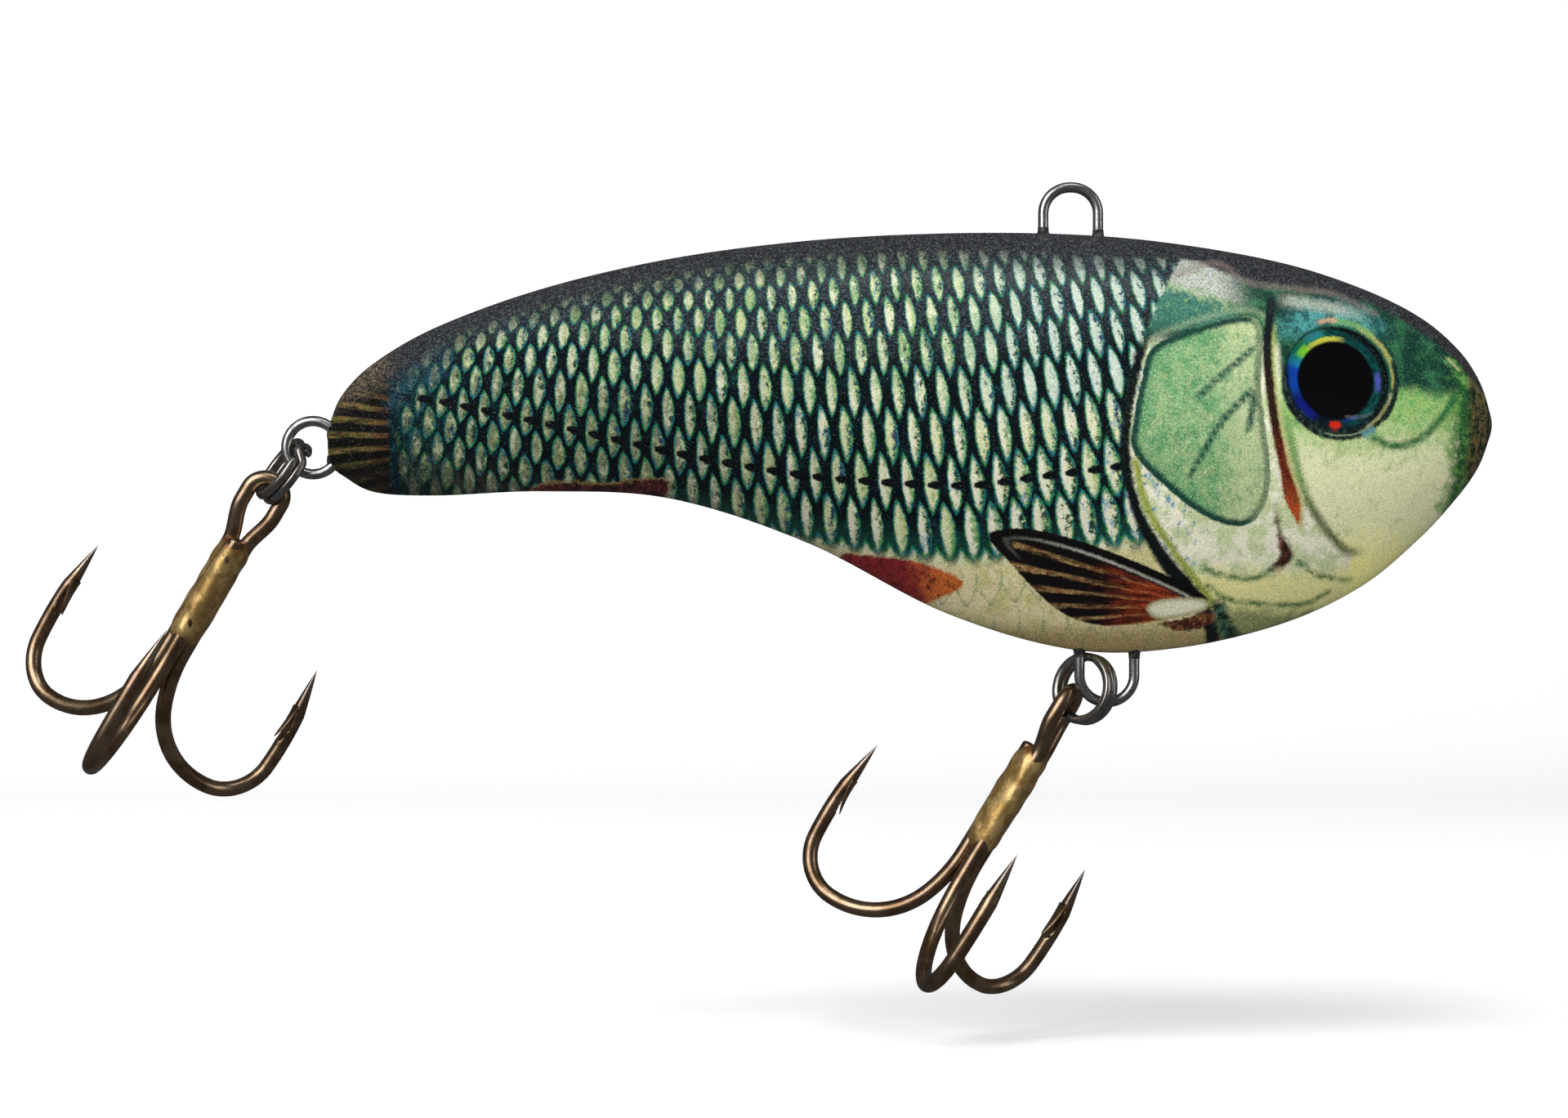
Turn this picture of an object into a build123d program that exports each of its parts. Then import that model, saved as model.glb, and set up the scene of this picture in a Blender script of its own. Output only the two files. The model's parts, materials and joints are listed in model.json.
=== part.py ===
from build123d import *
from math import atan2, cos, degrees, radians, sin, sqrt
import os

# Crankbait lure without a diving lip.  Millimetres, nose towards +X, back towards +Z.
# The origin is the middle of the line tie's opening, on the plane where the two half shells meet.

# ---- hull: stations along the body (x, back z, belly z, half thickness) ----
STATIONS = [
    (39.9, -19.6, -20.8, 0.4),
    (39.6, -18.6, -21.7, 1.2),
    (38.6, -15.7, -24.3, 2.5),
    (36.6, -12.8, -27.1, 3.9),
    (33.0, -9.8, -31.0, 5.4),
    (27.5, -7.1, -35.5, 7.0),
    (20.0, -4.7, -39.0, 8.4),
    (10.0, -2.9, -41.3, 9.1),
    (0.0, -2.0, -41.4, 9.0),
    (-12.0, -1.9, -37.9, 8.3),
    (-25.0, -2.6, -31.3, 7.0),
    (-38.0, -4.3, -27.1, 5.6),
    (-50.0, -7.1, -26.4, 4.4),
    (-60.0, -10.7, -26.8, 3.4),
    (-66.0, -14.1, -26.5, 2.7),
    (-69.0, -17.0, -25.0, 2.1),
    (-70.2, -19.6, -24.0, 1.5),
    (-70.4, -20.8, -23.0, 0.7),
]
WIDEST = 0.45          # height of the widest point, as a share of the depth below the back
SHOULDER = 0.13        # depth of the shoulder and keel points below back and belly, as a share of the whole
SHOULDER_OUT = 0.62    # and how far out they lie, as a share of the half thickness
KEEL_OUT = 0.50
WALL = 1.7
HOLLOW_X = (-57.0, 33.0)

# ---- wires ----
WIRE_D = 1.0
TIE_LEG_X = 2.6        # half the spacing of the line tie's legs
TIE_TOP_Z = 2.46
TIE_FOOT_Z = -8.5
BELLY_LOOP = (3.44, -43.8)
BELLY_LOOP_R = 2.6
BELLY_FOOT_Z = -36.6
TAIL_LOOP = (-71.95, -22.25)
TAIL_LOOP_R = 2.53
TAIL_LEG_OFFSET = 1.25
TAIL_BLEND_R = 1.5
TAIL_FOOT_X = -60.5
FOOT = 2.4
BEND_R = 1.1

# ---- split rings ----
RING_R = 3.05          # coil centreline
RING_WIRE_D = 0.8
RING_STEP = 0.42       # half the pitch of the two coils
RING_GAP_ANGLE = 24    # angle taken by the crossing from one coil to the other
BELLY_RING_AT = (1.41, 0.67, -45.17)
BELLY_RING_TILT = 14.6
BELLY_RING_OPEN = 43.3
TAIL_RING_AT = (-74.85, 0.60, -24.46)
TAIL_RING_TILT = 37.5
TAIL_RING_OPEN = 22.7

# ---- treble hooks, in their own frame: z runs down the shank from the top of the eye ----
HOOK_WIRE_D = 1.5
SHANK_R = 0.93         # from the treble's axis to each shank's centreline
SHANK_END = 19.45
BEND_ARCS = [(14.9, 21.5), (8.9, 68.0), (4.5, 85.0), (31.4, 12.5)]   # radius, degrees
POINT_LENGTH = 4.0
POINT_TIP_D = 0.12
BARB_THICK = 0.45
BARB = [(0.4, -0.4), (1.5, -3.6), (0.4, -2.6)]   # inwards and forwards from where the point begins
EYE_HALF = 1.7         # centreline half width of the eye
EYE_LINE = 0.75        # centreline of the eye's top below the frame's origin
EYE_STRAIGHT_END = 3.8
EYE_CLOSED = 7.9
SINGLE_TOP = 7.2
BRAZE = (8.0, 18.4)
BRAZE_R = 1.78
BRAZE_END_R = 1.45
BELLY_HOOK_AT = (1.01, 1.89, -44.81)
BELLY_HOOK_SWING = 31.5
BELLY_HOOK_LEAN = 2.8
BELLY_HOOK_ROLL = 6.4 - 120
TAIL_HOOK_AT = (-75.41, 0.50, -24.71)
TAIL_HOOK_SWING = 30.7
TAIL_HOOK_LEAN = 1.9
TAIL_HOOK_ROLL = 5.1

# ---- eyes ----
EYE_AT = (23.7, -16.3)
EYE_FACE_Y = 7.05
EYE_YAW = 10.0
EYE_PITCH = 9.0
IRIS_R = 5.0
IRIS_THICK = 0.3
LENS_RISE = 1.0
LENS_EDGE = 0.25
SOCKET_CLEAR = 0.1
SOCKET_DEPTH = 1.0
SOCKET_BACK = 1.0      # wall behind the socket

# ---- inside ----
BALL_D = 5.0
BALL_GAP = 0.4
BALL_Z = -25.0
CHANNEL_D = 5.7
CHANNEL_X = (-20.0, 12.0)
RIB = 1.2
BALL_TRAVEL = 14.0
BALL_END_GAP = 0.6
BELLY_BALLAST = (9.0, 19.0, -35.4, 5.0)    # x from, x to, z of the axis, diameter
NOSE_BALLAST = (29.0, -23.0, 6.6)          # x, z, diameter of the ball
PIN_D = 2.0
PIN_CLEAR = 0.1
PIN_LENGTH = 2.0
PIN_BOSS_D = 4.4
PINS = [(-46.0, -16.0), (-30.0, -10.0), (14.0, -11.0), (-14.0, -31.0), (25.0, -30.0)]

os.makedirs("parts", exist_ok=True)


def save(part, name):
    """Label a finished piece and write it."""
    part.label = name
    export_step(part, f"parts/{name}.step")


# ------------------------------------------------------------------ hull
def half_section(station, inset=0.0):
    """Half of a cross-section, on the side of +Y, as a closed sketch on its own plane."""
    x, back, belly, half = station
    back, belly, half = back - inset, belly + inset, half - inset
    depth = back - belly
    shoulder = (half * SHOULDER_OUT, back - depth * SHOULDER)
    widest = (half, back - depth * WIDEST)
    keel = (half * KEEL_OUT, belly + depth * SHOULDER)
    with BuildSketch(Plane.YZ.offset(x)) as section:
        with BuildLine():
            Spline((0, back), shoulder, widest, keel, (0, belly), tangents=((1, 0), (-1, 0)))
            Line((0, belly), (0, back))
        make_face()
    return section.sketch


with BuildPart() as hull_half:
    loft([half_section(station) for station in STATIONS])

inner_stations = [s for s in STATIONS if HOLLOW_X[0] - 4 < s[0] < HOLLOW_X[1] + 1]
with BuildPart() as hollow_half:
    loft([half_section(station, WALL) for station in inner_stations])

def eye_plane(side):
    """Plane of an eye's seat, facing outwards; side is 1 for +Y and -1 for -Y."""
    out = Vector(0, side, 0).rotate(Axis.Z, -side * EYE_YAW).rotate(Axis.X, side * EYE_PITCH)
    return Plane(origin=(EYE_AT[0], side * EYE_FACE_Y, EYE_AT[1]), x_dir=(1, 0, 0), z_dir=out)


eye_planes = {"left": eye_plane(1), "right": eye_plane(-1)}

# ribs along the rattle channel, bosses for the pins and pads behind the eyes, trimmed to the hull
channel_middle = (CHANNEL_X[0] + CHANNEL_X[1]) / 2
channel_length = CHANNEL_X[1] - CHANNEL_X[0]
with BuildPart() as rib_work:
    with BuildSketch(Plane.XZ):
        with Locations((channel_middle, BALL_Z)):
            Rectangle(channel_length + 2 * RIB, CHANNEL_D + 2 * RIB)
    extrude(amount=-12)
    for x, z in PINS:
        with BuildSketch(Plane.XZ):
            with Locations((x, z)):
                Circle(PIN_BOSS_D / 2)
        extrude(amount=-12)
    with BuildSketch(Plane.XZ):
        with Locations(((BELLY_BALLAST[0] + BELLY_BALLAST[1]) / 2, BELLY_BALLAST[2])):
            Rectangle(BELLY_BALLAST[1] - BELLY_BALLAST[0] + 2 * RIB, BELLY_BALLAST[3] + 2 * RIB)
        with Locations(BELLY_LOOP[:1] + (BELLY_FOOT_Z - 1.6,)):
            Rectangle(12.4, 6.0)
        with Locations((0, TIE_FOOT_Z + 3.0)):
            Rectangle(11.0, 9.0)
        with Locations((NOSE_BALLAST[0], NOSE_BALLAST[1])):
            Circle(NOSE_BALLAST[2] / 2 + RIB)
    extrude(amount=-12)
    with BuildSketch(eye_planes["left"].offset(-SOCKET_DEPTH - SOCKET_BACK)):
        Circle(IRIS_R + RIB)
    extrude(amount=SOCKET_DEPTH + SOCKET_BACK)
    add(hull_half.part, mode=Mode.INTERSECT)

with BuildPart() as half_blank:
    add(hull_half.part)
    add(hollow_half.part, mode=Mode.SUBTRACT)
    add(rib_work.part)
    # the rattle channel, round-ended like the balls
    with BuildSketch(Plane.YZ.offset(CHANNEL_X[0])):
        with Locations((0, BALL_Z)):
            Circle(CHANNEL_D / 2)
    extrude(amount=channel_length, mode=Mode.SUBTRACT)
    # seats of the two ballast weights
    with BuildSketch(Plane.YZ.offset(BELLY_BALLAST[0])):
        with Locations((0, BELLY_BALLAST[2])):
            Circle(BELLY_BALLAST[3] / 2)
    extrude(amount=BELLY_BALLAST[1] - BELLY_BALLAST[0], mode=Mode.SUBTRACT)
    with Locations((NOSE_BALLAST[0], 0, NOSE_BALLAST[1])):
        Sphere(NOSE_BALLAST[2] / 2, mode=Mode.SUBTRACT)

# ------------------------------------------------------------------ wires
def wire_along(path, diameter):
    """A round wire along a finished path."""
    with BuildPart() as wire:
        with BuildSketch(Plane(origin=path @ 0, z_dir=path % 0)):
            Circle(diameter / 2)
        sweep(path=path)
    return wire.part


def staple(corners, radii):
    """A bent wire on the XZ plane through the corners, each with its own bend radius."""
    with BuildLine(Plane.XZ) as path:
        FilletPolyline(*corners, radius=radii)
    return wire_along(path.wire(), WIRE_D)


tie_leg = TIE_LEG_X
line_tie = staple(
    [
        (-tie_leg - FOOT, TIE_FOOT_Z),
        (-tie_leg, TIE_FOOT_Z),
        (-tie_leg, TIE_TOP_Z),
        (tie_leg, TIE_TOP_Z),
        (tie_leg, TIE_FOOT_Z),
        (tie_leg + FOOT, TIE_FOOT_Z),
    ],
    [BEND_R, tie_leg * 0.96, tie_leg * 0.96, BEND_R],
)

belly_x, belly_z = BELLY_LOOP
belly_low = belly_z - BELLY_LOOP_R
belly_hanger = staple(
    [
        (belly_x - BELLY_LOOP_R - FOOT, BELLY_FOOT_Z),
        (belly_x - BELLY_LOOP_R, BELLY_FOOT_Z),
        (belly_x - BELLY_LOOP_R, belly_low),
        (belly_x + BELLY_LOOP_R, belly_low),
        (belly_x + BELLY_LOOP_R, BELLY_FOOT_Z),
        (belly_x + BELLY_LOOP_R + FOOT, BELLY_FOOT_Z),
    ],
    [BEND_R, BELLY_LOOP_R * 0.98, BELLY_LOOP_R * 0.98, BEND_R],
)

# The tail hanger is a round loop whose two legs blend out of it and run forward inside the tail.
tail_x, tail_z = TAIL_LOOP
blend_reach = sqrt((TAIL_LOOP_R + TAIL_BLEND_R) ** 2 - (TAIL_LEG_OFFSET + TAIL_BLEND_R) ** 2)
blend_angle = degrees(atan2(TAIL_LEG_OFFSET + TAIL_BLEND_R, blend_reach))
blend_sweep = 90 - blend_angle


def tail_side(sign):
    """Key points of one leg: foot end, foot bend, blend start, blend middle, blend end."""
    leg_z = tail_z + sign * TAIL_LEG_OFFSET
    blend_centre = (tail_x + blend_reach, leg_z + sign * TAIL_BLEND_R)
    points = []
    for angle in (0, blend_sweep / 2, blend_sweep):
        points.append(
            (
                blend_centre[0] - TAIL_BLEND_R * sin(radians(angle)),
                blend_centre[1] - sign * TAIL_BLEND_R * cos(radians(angle)),
            )
        )
    return leg_z, points


upper_z, upper_blend = tail_side(1)
lower_z, lower_blend = tail_side(-1)
with BuildLine(Plane.XZ) as tail_path:
    FilletPolyline(
        (TAIL_FOOT_X, upper_z + FOOT),
        (TAIL_FOOT_X, upper_z),
        upper_blend[0],
        radius=BEND_R,
    )
    ThreePointArc(*upper_blend)
    ThreePointArc(upper_blend[2], (tail_x - TAIL_LOOP_R, tail_z), lower_blend[2])
    ThreePointArc(*reversed(lower_blend))
    FilletPolyline(
        lower_blend[0],
        (TAIL_FOOT_X, lower_z),
        (TAIL_FOOT_X, lower_z - FOOT),
        radius=BEND_R,
    )
tail_hanger = wire_along(tail_path.wire(), WIRE_D)

save(line_tie, "line_tie_wire")
save(belly_hanger, "belly_hanger_wire")
save(tail_hanger, "tail_hanger_wire")


# ------------------------------------------------------------------ split rings and trebles
def ring_plane(at, tilt, opening):
    """Plane of a ring: x along the ring's long way seen from the side, z along its axis."""
    long_way = Vector(-sin(radians(tilt)), 0, -cos(radians(tilt)))
    across = Vector(cos(radians(tilt)), 0, -sin(radians(tilt)))
    other = Vector(0, -1, 0) * cos(radians(opening)) + across * sin(radians(opening))
    return Plane(origin=at, x_dir=long_way, z_dir=long_way.cross(other))


def hook_plane(at, swing, lean, roll):
    """Plane of a treble: z down the shank, x towards the arm that stands alone."""
    swing, lean, roll = radians(swing), radians(lean), radians(roll)
    down = Vector(-sin(swing) * cos(lean), sin(lean), -cos(swing) * cos(lean))
    near = Vector(0, -1, 0)
    near = (near - down * near.dot(down)).normalized()
    right = near.cross(down)
    alone = near * cos(roll) + right * sin(roll)
    return Plane(origin=at, x_dir=alone, z_dir=down)


belly_ring_plane = ring_plane(BELLY_RING_AT, BELLY_RING_TILT, BELLY_RING_OPEN)
tail_ring_plane = ring_plane(TAIL_RING_AT, TAIL_RING_TILT, TAIL_RING_OPEN)
belly_hook_plane = hook_plane(BELLY_HOOK_AT, BELLY_HOOK_SWING, BELLY_HOOK_LEAN, BELLY_HOOK_ROLL)
tail_hook_plane = hook_plane(TAIL_HOOK_AT, TAIL_HOOK_SWING, TAIL_HOOK_LEAN, TAIL_HOOK_ROLL)


def ring_point(angle, height):
    return Vector(RING_R * cos(radians(angle)), RING_R * sin(radians(angle)), height)


def split_ring(start):
    """Two flat coils joined by a short crossing, from one wire; start is the cut end's angle."""
    half_turn = (360 - RING_GAP_ANGLE) / 2
    end = start + 2 * half_turn
    with BuildLine() as path:
        ThreePointArc(
            ring_point(start, -RING_STEP),
            ring_point(start + half_turn, -RING_STEP),
            ring_point(end, -RING_STEP),
        )
        tangent_1 = Vector(-sin(radians(end)), cos(radians(end)), 0)
        after = end + RING_GAP_ANGLE
        tangent_2 = Vector(-sin(radians(after)), cos(radians(after)), 0)
        Spline(
            ring_point(end, -RING_STEP),
            ring_point(after, RING_STEP),
            tangents=(tangent_1, tangent_2),
        )
        ThreePointArc(
            ring_point(after, RING_STEP),
            ring_point(after + half_turn, RING_STEP),
            ring_point(after + 2 * half_turn, RING_STEP),
        )
    return wire_along(path.wire(), RING_WIRE_D)


save(split_ring(200).moved(belly_ring_plane.location), "belly_split_ring")
save(split_ring(150).moved(tail_ring_plane.location), "tail_split_ring")


def arm_chain():
    """The arm's side view (distance from the axis, distance down the shank), arc by arc."""
    r, s, heading = SHANK_R, SHANK_END, 0.0
    arcs = []
    for radius, turn in BEND_ARCS:
        centre = (r + radius * cos(heading), s - radius * sin(heading))
        points = []
        for share in (0, 0.5, 1):
            angle = heading + radians(turn) * share
            points.append((centre[0] - radius * cos(angle), centre[1] + radius * sin(angle)))
        arcs.append(points)
        r, s = points[2]
        heading += radians(turn)
    return arcs, heading


arm_arcs, point_heading = arm_chain()
point_start = arm_arcs[-1][2]


def arm_part(turn, top):
    """One arm of a treble, turned about the axis, from a shank height down to its point."""

    def place(r, s):
        return Vector(r * cos(radians(turn)), r * sin(radians(turn)), s)

    with BuildLine() as path:
        Line(place(SHANK_R, top), place(SHANK_R, SHANK_END))
        for first, middle, last in arm_arcs:
            ThreePointArc(place(*first), place(*middle), place(*last))
    outward = Vector(cos(radians(turn)), sin(radians(turn)), 0)
    forward = outward * sin(point_heading) + Vector(0, 0, cos(point_heading))
    start = place(*point_start)
    inward = forward.cross(Vector(-sin(radians(turn)), cos(radians(turn)), 0))
    point_plane = Plane(origin=start, x_dir=inward, z_dir=forward)
    with BuildPart() as arm:
        add(wire_along(path.wire(), HOOK_WIRE_D))
        with BuildSketch(point_plane):
            Circle(HOOK_WIRE_D / 2)
        with BuildSketch(point_plane.offset(POINT_LENGTH)):
            Circle(POINT_TIP_D / 2)
        loft()
        # the barb: a thin blade lifted from the inner side, its tip back towards the bend
        with BuildSketch(Plane(origin=start, x_dir=inward, z_dir=forward.cross(inward))):
            with BuildLine():
                Polyline(*BARB, close=True)
            make_face()
        extrude(amount=BARB_THICK / 2, both=True)
    return arm.part


ARM_SPACING = 120
shank_side = SHANK_R * sin(radians(ARM_SPACING))
shank_back = SHANK_R * cos(radians(ARM_SPACING))


def eye_part():
    """The eye of the double hook: two shanks that swing apart and close over the top."""
    spread = Vector(-shank_back, EYE_HALF - shank_side, 0)
    rise = EYE_CLOSED - EYE_STRAIGHT_END
    bend = 2 * atan2(spread.length, rise)
    radius = rise / (2 * sin(bend))
    spread_way = spread.normalized()
    top_s = EYE_LINE + EYE_HALF

    def swing_points(side):
        """The S of two equal arcs between a shank and its side of the eye, from below."""

        def at(out, s):
            shift = spread_way * out
            return Vector(shank_back + shift.X, side * (shank_side + shift.Y), s)

        half = radius * (1 - cos(bend / 2))
        whole = spread.length
        middle_s = (EYE_CLOSED + EYE_STRAIGHT_END) / 2
        lower = [at(0, EYE_CLOSED), at(half, EYE_CLOSED - radius * sin(bend / 2)), at(whole / 2, middle_s)]
        upper = [
            at(whole / 2, middle_s),
            at(whole - half, EYE_STRAIGHT_END + radius * sin(bend / 2)),
            at(whole, EYE_STRAIGHT_END),
        ]
        return lower, upper

    low_1, high_1 = swing_points(1)
    low_2, high_2 = swing_points(-1)
    with BuildLine() as path:
        Line(Vector(shank_back, shank_side, SHANK_END), low_1[0])
        ThreePointArc(*low_1)
        ThreePointArc(*high_1)
        Line(high_1[2], Vector(0, EYE_HALF, top_s))
        ThreePointArc(
            Vector(0, EYE_HALF, top_s), Vector(0, 0, EYE_LINE), Vector(0, -EYE_HALF, top_s)
        )
        Line(Vector(0, -EYE_HALF, top_s), high_2[2])
        ThreePointArc(*reversed(high_2))
        ThreePointArc(*reversed(low_2))
        Line(low_2[0], Vector(shank_back, -shank_side, SHANK_END))
    return wire_along(path.wire(), HOOK_WIRE_D)


shank_overlap = SHANK_END - 2.0
with BuildPart() as double_hook:
    add(eye_part())
    add(arm_part(ARM_SPACING, shank_overlap))
    add(arm_part(-ARM_SPACING, shank_overlap))

single_hook = arm_part(0, SINGLE_TOP)

with BuildPart() as braze:
    with BuildSketch(Plane.XZ):
        with BuildLine():
            Polyline((0, BRAZE[0]), (BRAZE_END_R, BRAZE[0]))
            ThreePointArc(
                (BRAZE_END_R, BRAZE[0]),
                (BRAZE_R, (BRAZE[0] + BRAZE[1]) / 2),
                (BRAZE_END_R, BRAZE[1]),
            )
            Polyline((BRAZE_END_R, BRAZE[1]), (0, BRAZE[1]), (0, BRAZE[0]))
        make_face()
    revolve(axis=Axis.Z)
    for turn in (0, ARM_SPACING, -ARM_SPACING):
        shank_at = Vector(SHANK_R * cos(radians(turn)), SHANK_R * sin(radians(turn)), BRAZE[0] - 1)
        with BuildSketch(Plane(origin=shank_at, z_dir=(0, 0, 1))):
            Circle(HOOK_WIRE_D / 2)
        extrude(amount=BRAZE[1] - BRAZE[0] + 2, mode=Mode.SUBTRACT)

for side, plane in (("belly", belly_hook_plane), ("tail", tail_hook_plane)):
    save(double_hook.part.moved(plane.location), f"{side}_treble_double_hook")
    save(single_hook.moved(plane.location), f"{side}_treble_single_hook")
    save(braze.part.moved(plane.location), f"{side}_treble_braze")


# ------------------------------------------------------------------ eyes, ballast, rattle balls
with BuildPart() as iris:
    with BuildSketch(Plane.XY.offset(-SOCKET_DEPTH)):
        Circle(IRIS_R)
    extrude(amount=IRIS_THICK)

lens_bottom = IRIS_THICK - SOCKET_DEPTH
lens_edge_top = lens_bottom + SOCKET_DEPTH - IRIS_THICK + LENS_EDGE
with BuildPart() as lens:
    with BuildSketch(Plane.XZ):
        with BuildLine():
            Polyline((0, lens_bottom), (IRIS_R, lens_bottom), (IRIS_R, lens_edge_top))
            crown = (0, lens_edge_top + LENS_RISE)
            RadiusArc((IRIS_R, lens_edge_top), crown, -(IRIS_R**2 + LENS_RISE**2) / (2 * LENS_RISE))
            Line(crown, (0, lens_bottom))
        make_face()
    revolve(axis=Axis.Z)

for name, plane in eye_planes.items():
    save(iris.part.moved(plane.location), f"eye_iris_{name}")
    save(lens.part.moved(plane.location), f"eye_lens_{name}")

with BuildPart() as belly_ballast:
    with BuildSketch(Plane.YZ.offset(BELLY_BALLAST[0])):
        with Locations((0, BELLY_BALLAST[2])):
            Circle(BELLY_BALLAST[3] / 2)
    extrude(amount=BELLY_BALLAST[1] - BELLY_BALLAST[0])
    chamfer(belly_ballast.edges().filter_by(GeomType.CIRCLE), length=0.6)
save(belly_ballast.part, "belly_ballast")

with BuildPart() as nose_ballast:
    with Locations((NOSE_BALLAST[0], 0, NOSE_BALLAST[1])):
        Sphere(NOSE_BALLAST[2] / 2)
save(nose_ballast.part, "nose_ballast")

ball_step = BALL_D + BALL_GAP
front_ball_x = CHANNEL_X[1] - BALL_END_GAP - BALL_D / 2
for place, name in enumerate(("front", "middle", "rear")):
    with BuildPart() as ball:
        with Locations((front_ball_x - place * ball_step, 0, BALL_Z)):
            Sphere(BALL_D / 2)
    save(ball.part, f"rattle_ball_{name}")


# ------------------------------------------------------------------ the two half shells
with BuildPart() as body_shell_left:
    add(half_blank.part)
    with BuildSketch(eye_planes["left"].offset(-SOCKET_DEPTH)):
        Circle(IRIS_R + SOCKET_CLEAR)
    extrude(amount=6, mode=Mode.SUBTRACT)
    for wire in (line_tie, belly_hanger, tail_hanger):
        add(wire, mode=Mode.SUBTRACT)
    with BuildSketch(Plane.XZ.offset(PIN_LENGTH)):
        with Locations(*PINS):
            Circle(PIN_D / 2)
    extrude(amount=-PIN_LENGTH - 1)

with BuildPart() as body_shell_right:
    add(mirror(half_blank.part, about=Plane.XZ))
    with BuildSketch(eye_planes["right"].offset(-SOCKET_DEPTH)):
        Circle(IRIS_R + SOCKET_CLEAR)
    extrude(amount=6, mode=Mode.SUBTRACT)
    for wire in (line_tie, belly_hanger, tail_hanger):
        add(wire, mode=Mode.SUBTRACT)
    with BuildSketch(Plane.XZ):
        with Locations(*PINS):
            Circle(PIN_D / 2 + PIN_CLEAR)
    extrude(amount=PIN_LENGTH + 0.4, mode=Mode.SUBTRACT)

save(body_shell_left.part, "body_shell_left")
save(body_shell_right.part, "body_shell_right")
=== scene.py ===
import json
import math
import bpy
import bmesh
import numpy as np
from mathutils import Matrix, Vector

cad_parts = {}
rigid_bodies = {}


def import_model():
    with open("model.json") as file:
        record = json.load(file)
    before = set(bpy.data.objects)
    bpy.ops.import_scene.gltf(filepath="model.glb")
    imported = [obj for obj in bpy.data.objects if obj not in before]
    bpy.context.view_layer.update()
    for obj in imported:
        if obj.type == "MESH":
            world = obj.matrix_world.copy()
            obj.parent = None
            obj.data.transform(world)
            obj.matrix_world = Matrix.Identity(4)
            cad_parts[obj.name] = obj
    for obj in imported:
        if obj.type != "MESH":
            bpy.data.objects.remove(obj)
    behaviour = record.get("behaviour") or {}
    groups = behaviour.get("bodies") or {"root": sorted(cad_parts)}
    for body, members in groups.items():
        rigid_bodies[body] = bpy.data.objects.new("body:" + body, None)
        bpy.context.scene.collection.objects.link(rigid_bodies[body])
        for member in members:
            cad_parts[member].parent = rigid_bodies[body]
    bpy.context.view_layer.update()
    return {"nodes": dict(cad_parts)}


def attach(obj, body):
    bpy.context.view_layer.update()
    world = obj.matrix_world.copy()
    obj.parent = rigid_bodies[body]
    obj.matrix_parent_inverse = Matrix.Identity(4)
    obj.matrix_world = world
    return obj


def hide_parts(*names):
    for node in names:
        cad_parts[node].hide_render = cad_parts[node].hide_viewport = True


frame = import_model()

# Everything below is worked out in millimetres, in the part's frame, and turned into metres when a
# mesh is made.  X runs to the nose, Z up through the back, and the half shells meet at Y = 0.
MM = 0.001

# ------------------------------------------------------------------ driving sizes
# stations of the hull: x, back z, belly z, half thickness
HULL = [
    (-70.4, -20.8, -23.0, 0.7),
    (-70.2, -19.6, -24.0, 1.5),
    (-69.0, -17.0, -25.0, 2.1),
    (-66.0, -14.1, -26.5, 2.7),
    (-60.0, -10.7, -26.8, 3.4),
    (-50.0, -7.1, -26.4, 4.4),
    (-38.0, -4.3, -27.1, 5.6),
    (-25.0, -2.6, -31.3, 7.0),
    (-12.0, -1.9, -37.9, 8.3),
    (0.0, -2.0, -41.4, 9.0),
    (10.0, -2.9, -41.3, 9.1),
    (20.0, -4.7, -39.0, 8.4),
    (27.5, -7.1, -35.5, 7.0),
    (33.0, -9.8, -31.0, 5.4),
    (36.6, -12.8, -27.1, 3.9),
    (38.6, -15.7, -24.3, 2.5),
    (39.6, -18.6, -21.7, 1.2),
    (39.9, -19.6, -20.8, 0.4),
]
WIDEST = 0.45
BACK_POWER = 1.2
BELLY_POWER = 1.35
WALL = 1.7
HOLLOW = (-57.0, 33.0)
HULL_TIPS = (-70.42, 39.9)
HULL_ROWS = 380
HULL_COLUMNS = 96
INNER_COLUMNS = 14

EYE_AT = (23.7, -16.3)
EYE_FACE_Y = 7.05
EYE_YAW = 10.0
EYE_PITCH = 9.0
EYE_R = 5.0
SOCKET_R = 5.08
SOCKET_DEPTH = 1.0
SOCKET_SEARCH = 1.6
PUPIL_R = 3.6

WIRE_R = 0.5
TIE_LEG_X = 2.6
TIE_TOP_Z = 2.46
TIE_FOOT_Z = -8.5
BELLY_LOOP = (3.44, -43.8)
BELLY_LOOP_R = 2.6
BELLY_FOOT_Z = -36.6
TAIL_LOOP = (-71.95, -22.25)
TAIL_LOOP_R = 2.53
TAIL_LEG_OFFSET = 1.25
TAIL_BLEND_R = 1.5
TAIL_FOOT_X = -60.5
FOOT = 2.0
FOOT_BEND_R = 0.8

RING_R = 3.05
RING_STEP = 0.42
RING_HALF_WIDTH = 0.40
RING_HALF_DEPTH = 0.41
RING_GAP_ANGLE = 26
RINGS = {
    "belly": dict(at=(1.41, 0.67, -45.17), tilt=14.6, opening=43.3, start=200),
    "tail": dict(at=(-74.85, 0.60, -24.46), tilt=37.5, opening=22.7, start=150),
}

HOOK_R = 0.75
HOOK_SEGMENTS = 22
SHANK_R = 0.93
SHANK_END = 19.45
BEND_ARCS = [(14.9, 21.5), (8.9, 68.0), (4.5, 85.0), (31.4, 12.5)]
POINT_LENGTH = 4.0
EYE_HALF = 1.7
EYE_LINE = 0.75
EYE_STRAIGHT_END = 3.8
EYE_CLOSED = 7.9
SINGLE_TOP = 7.2
BRAZE = (7.3, 18.6)
HOOKS = {
    "belly": dict(at=(1.01, 1.89, -44.81), swing=31.5, lean=2.8, roll=6.4 - 120),
    "tail": dict(at=(-75.41, 0.50, -24.71), swing=30.7, lean=1.9, roll=5.1),
}


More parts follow.
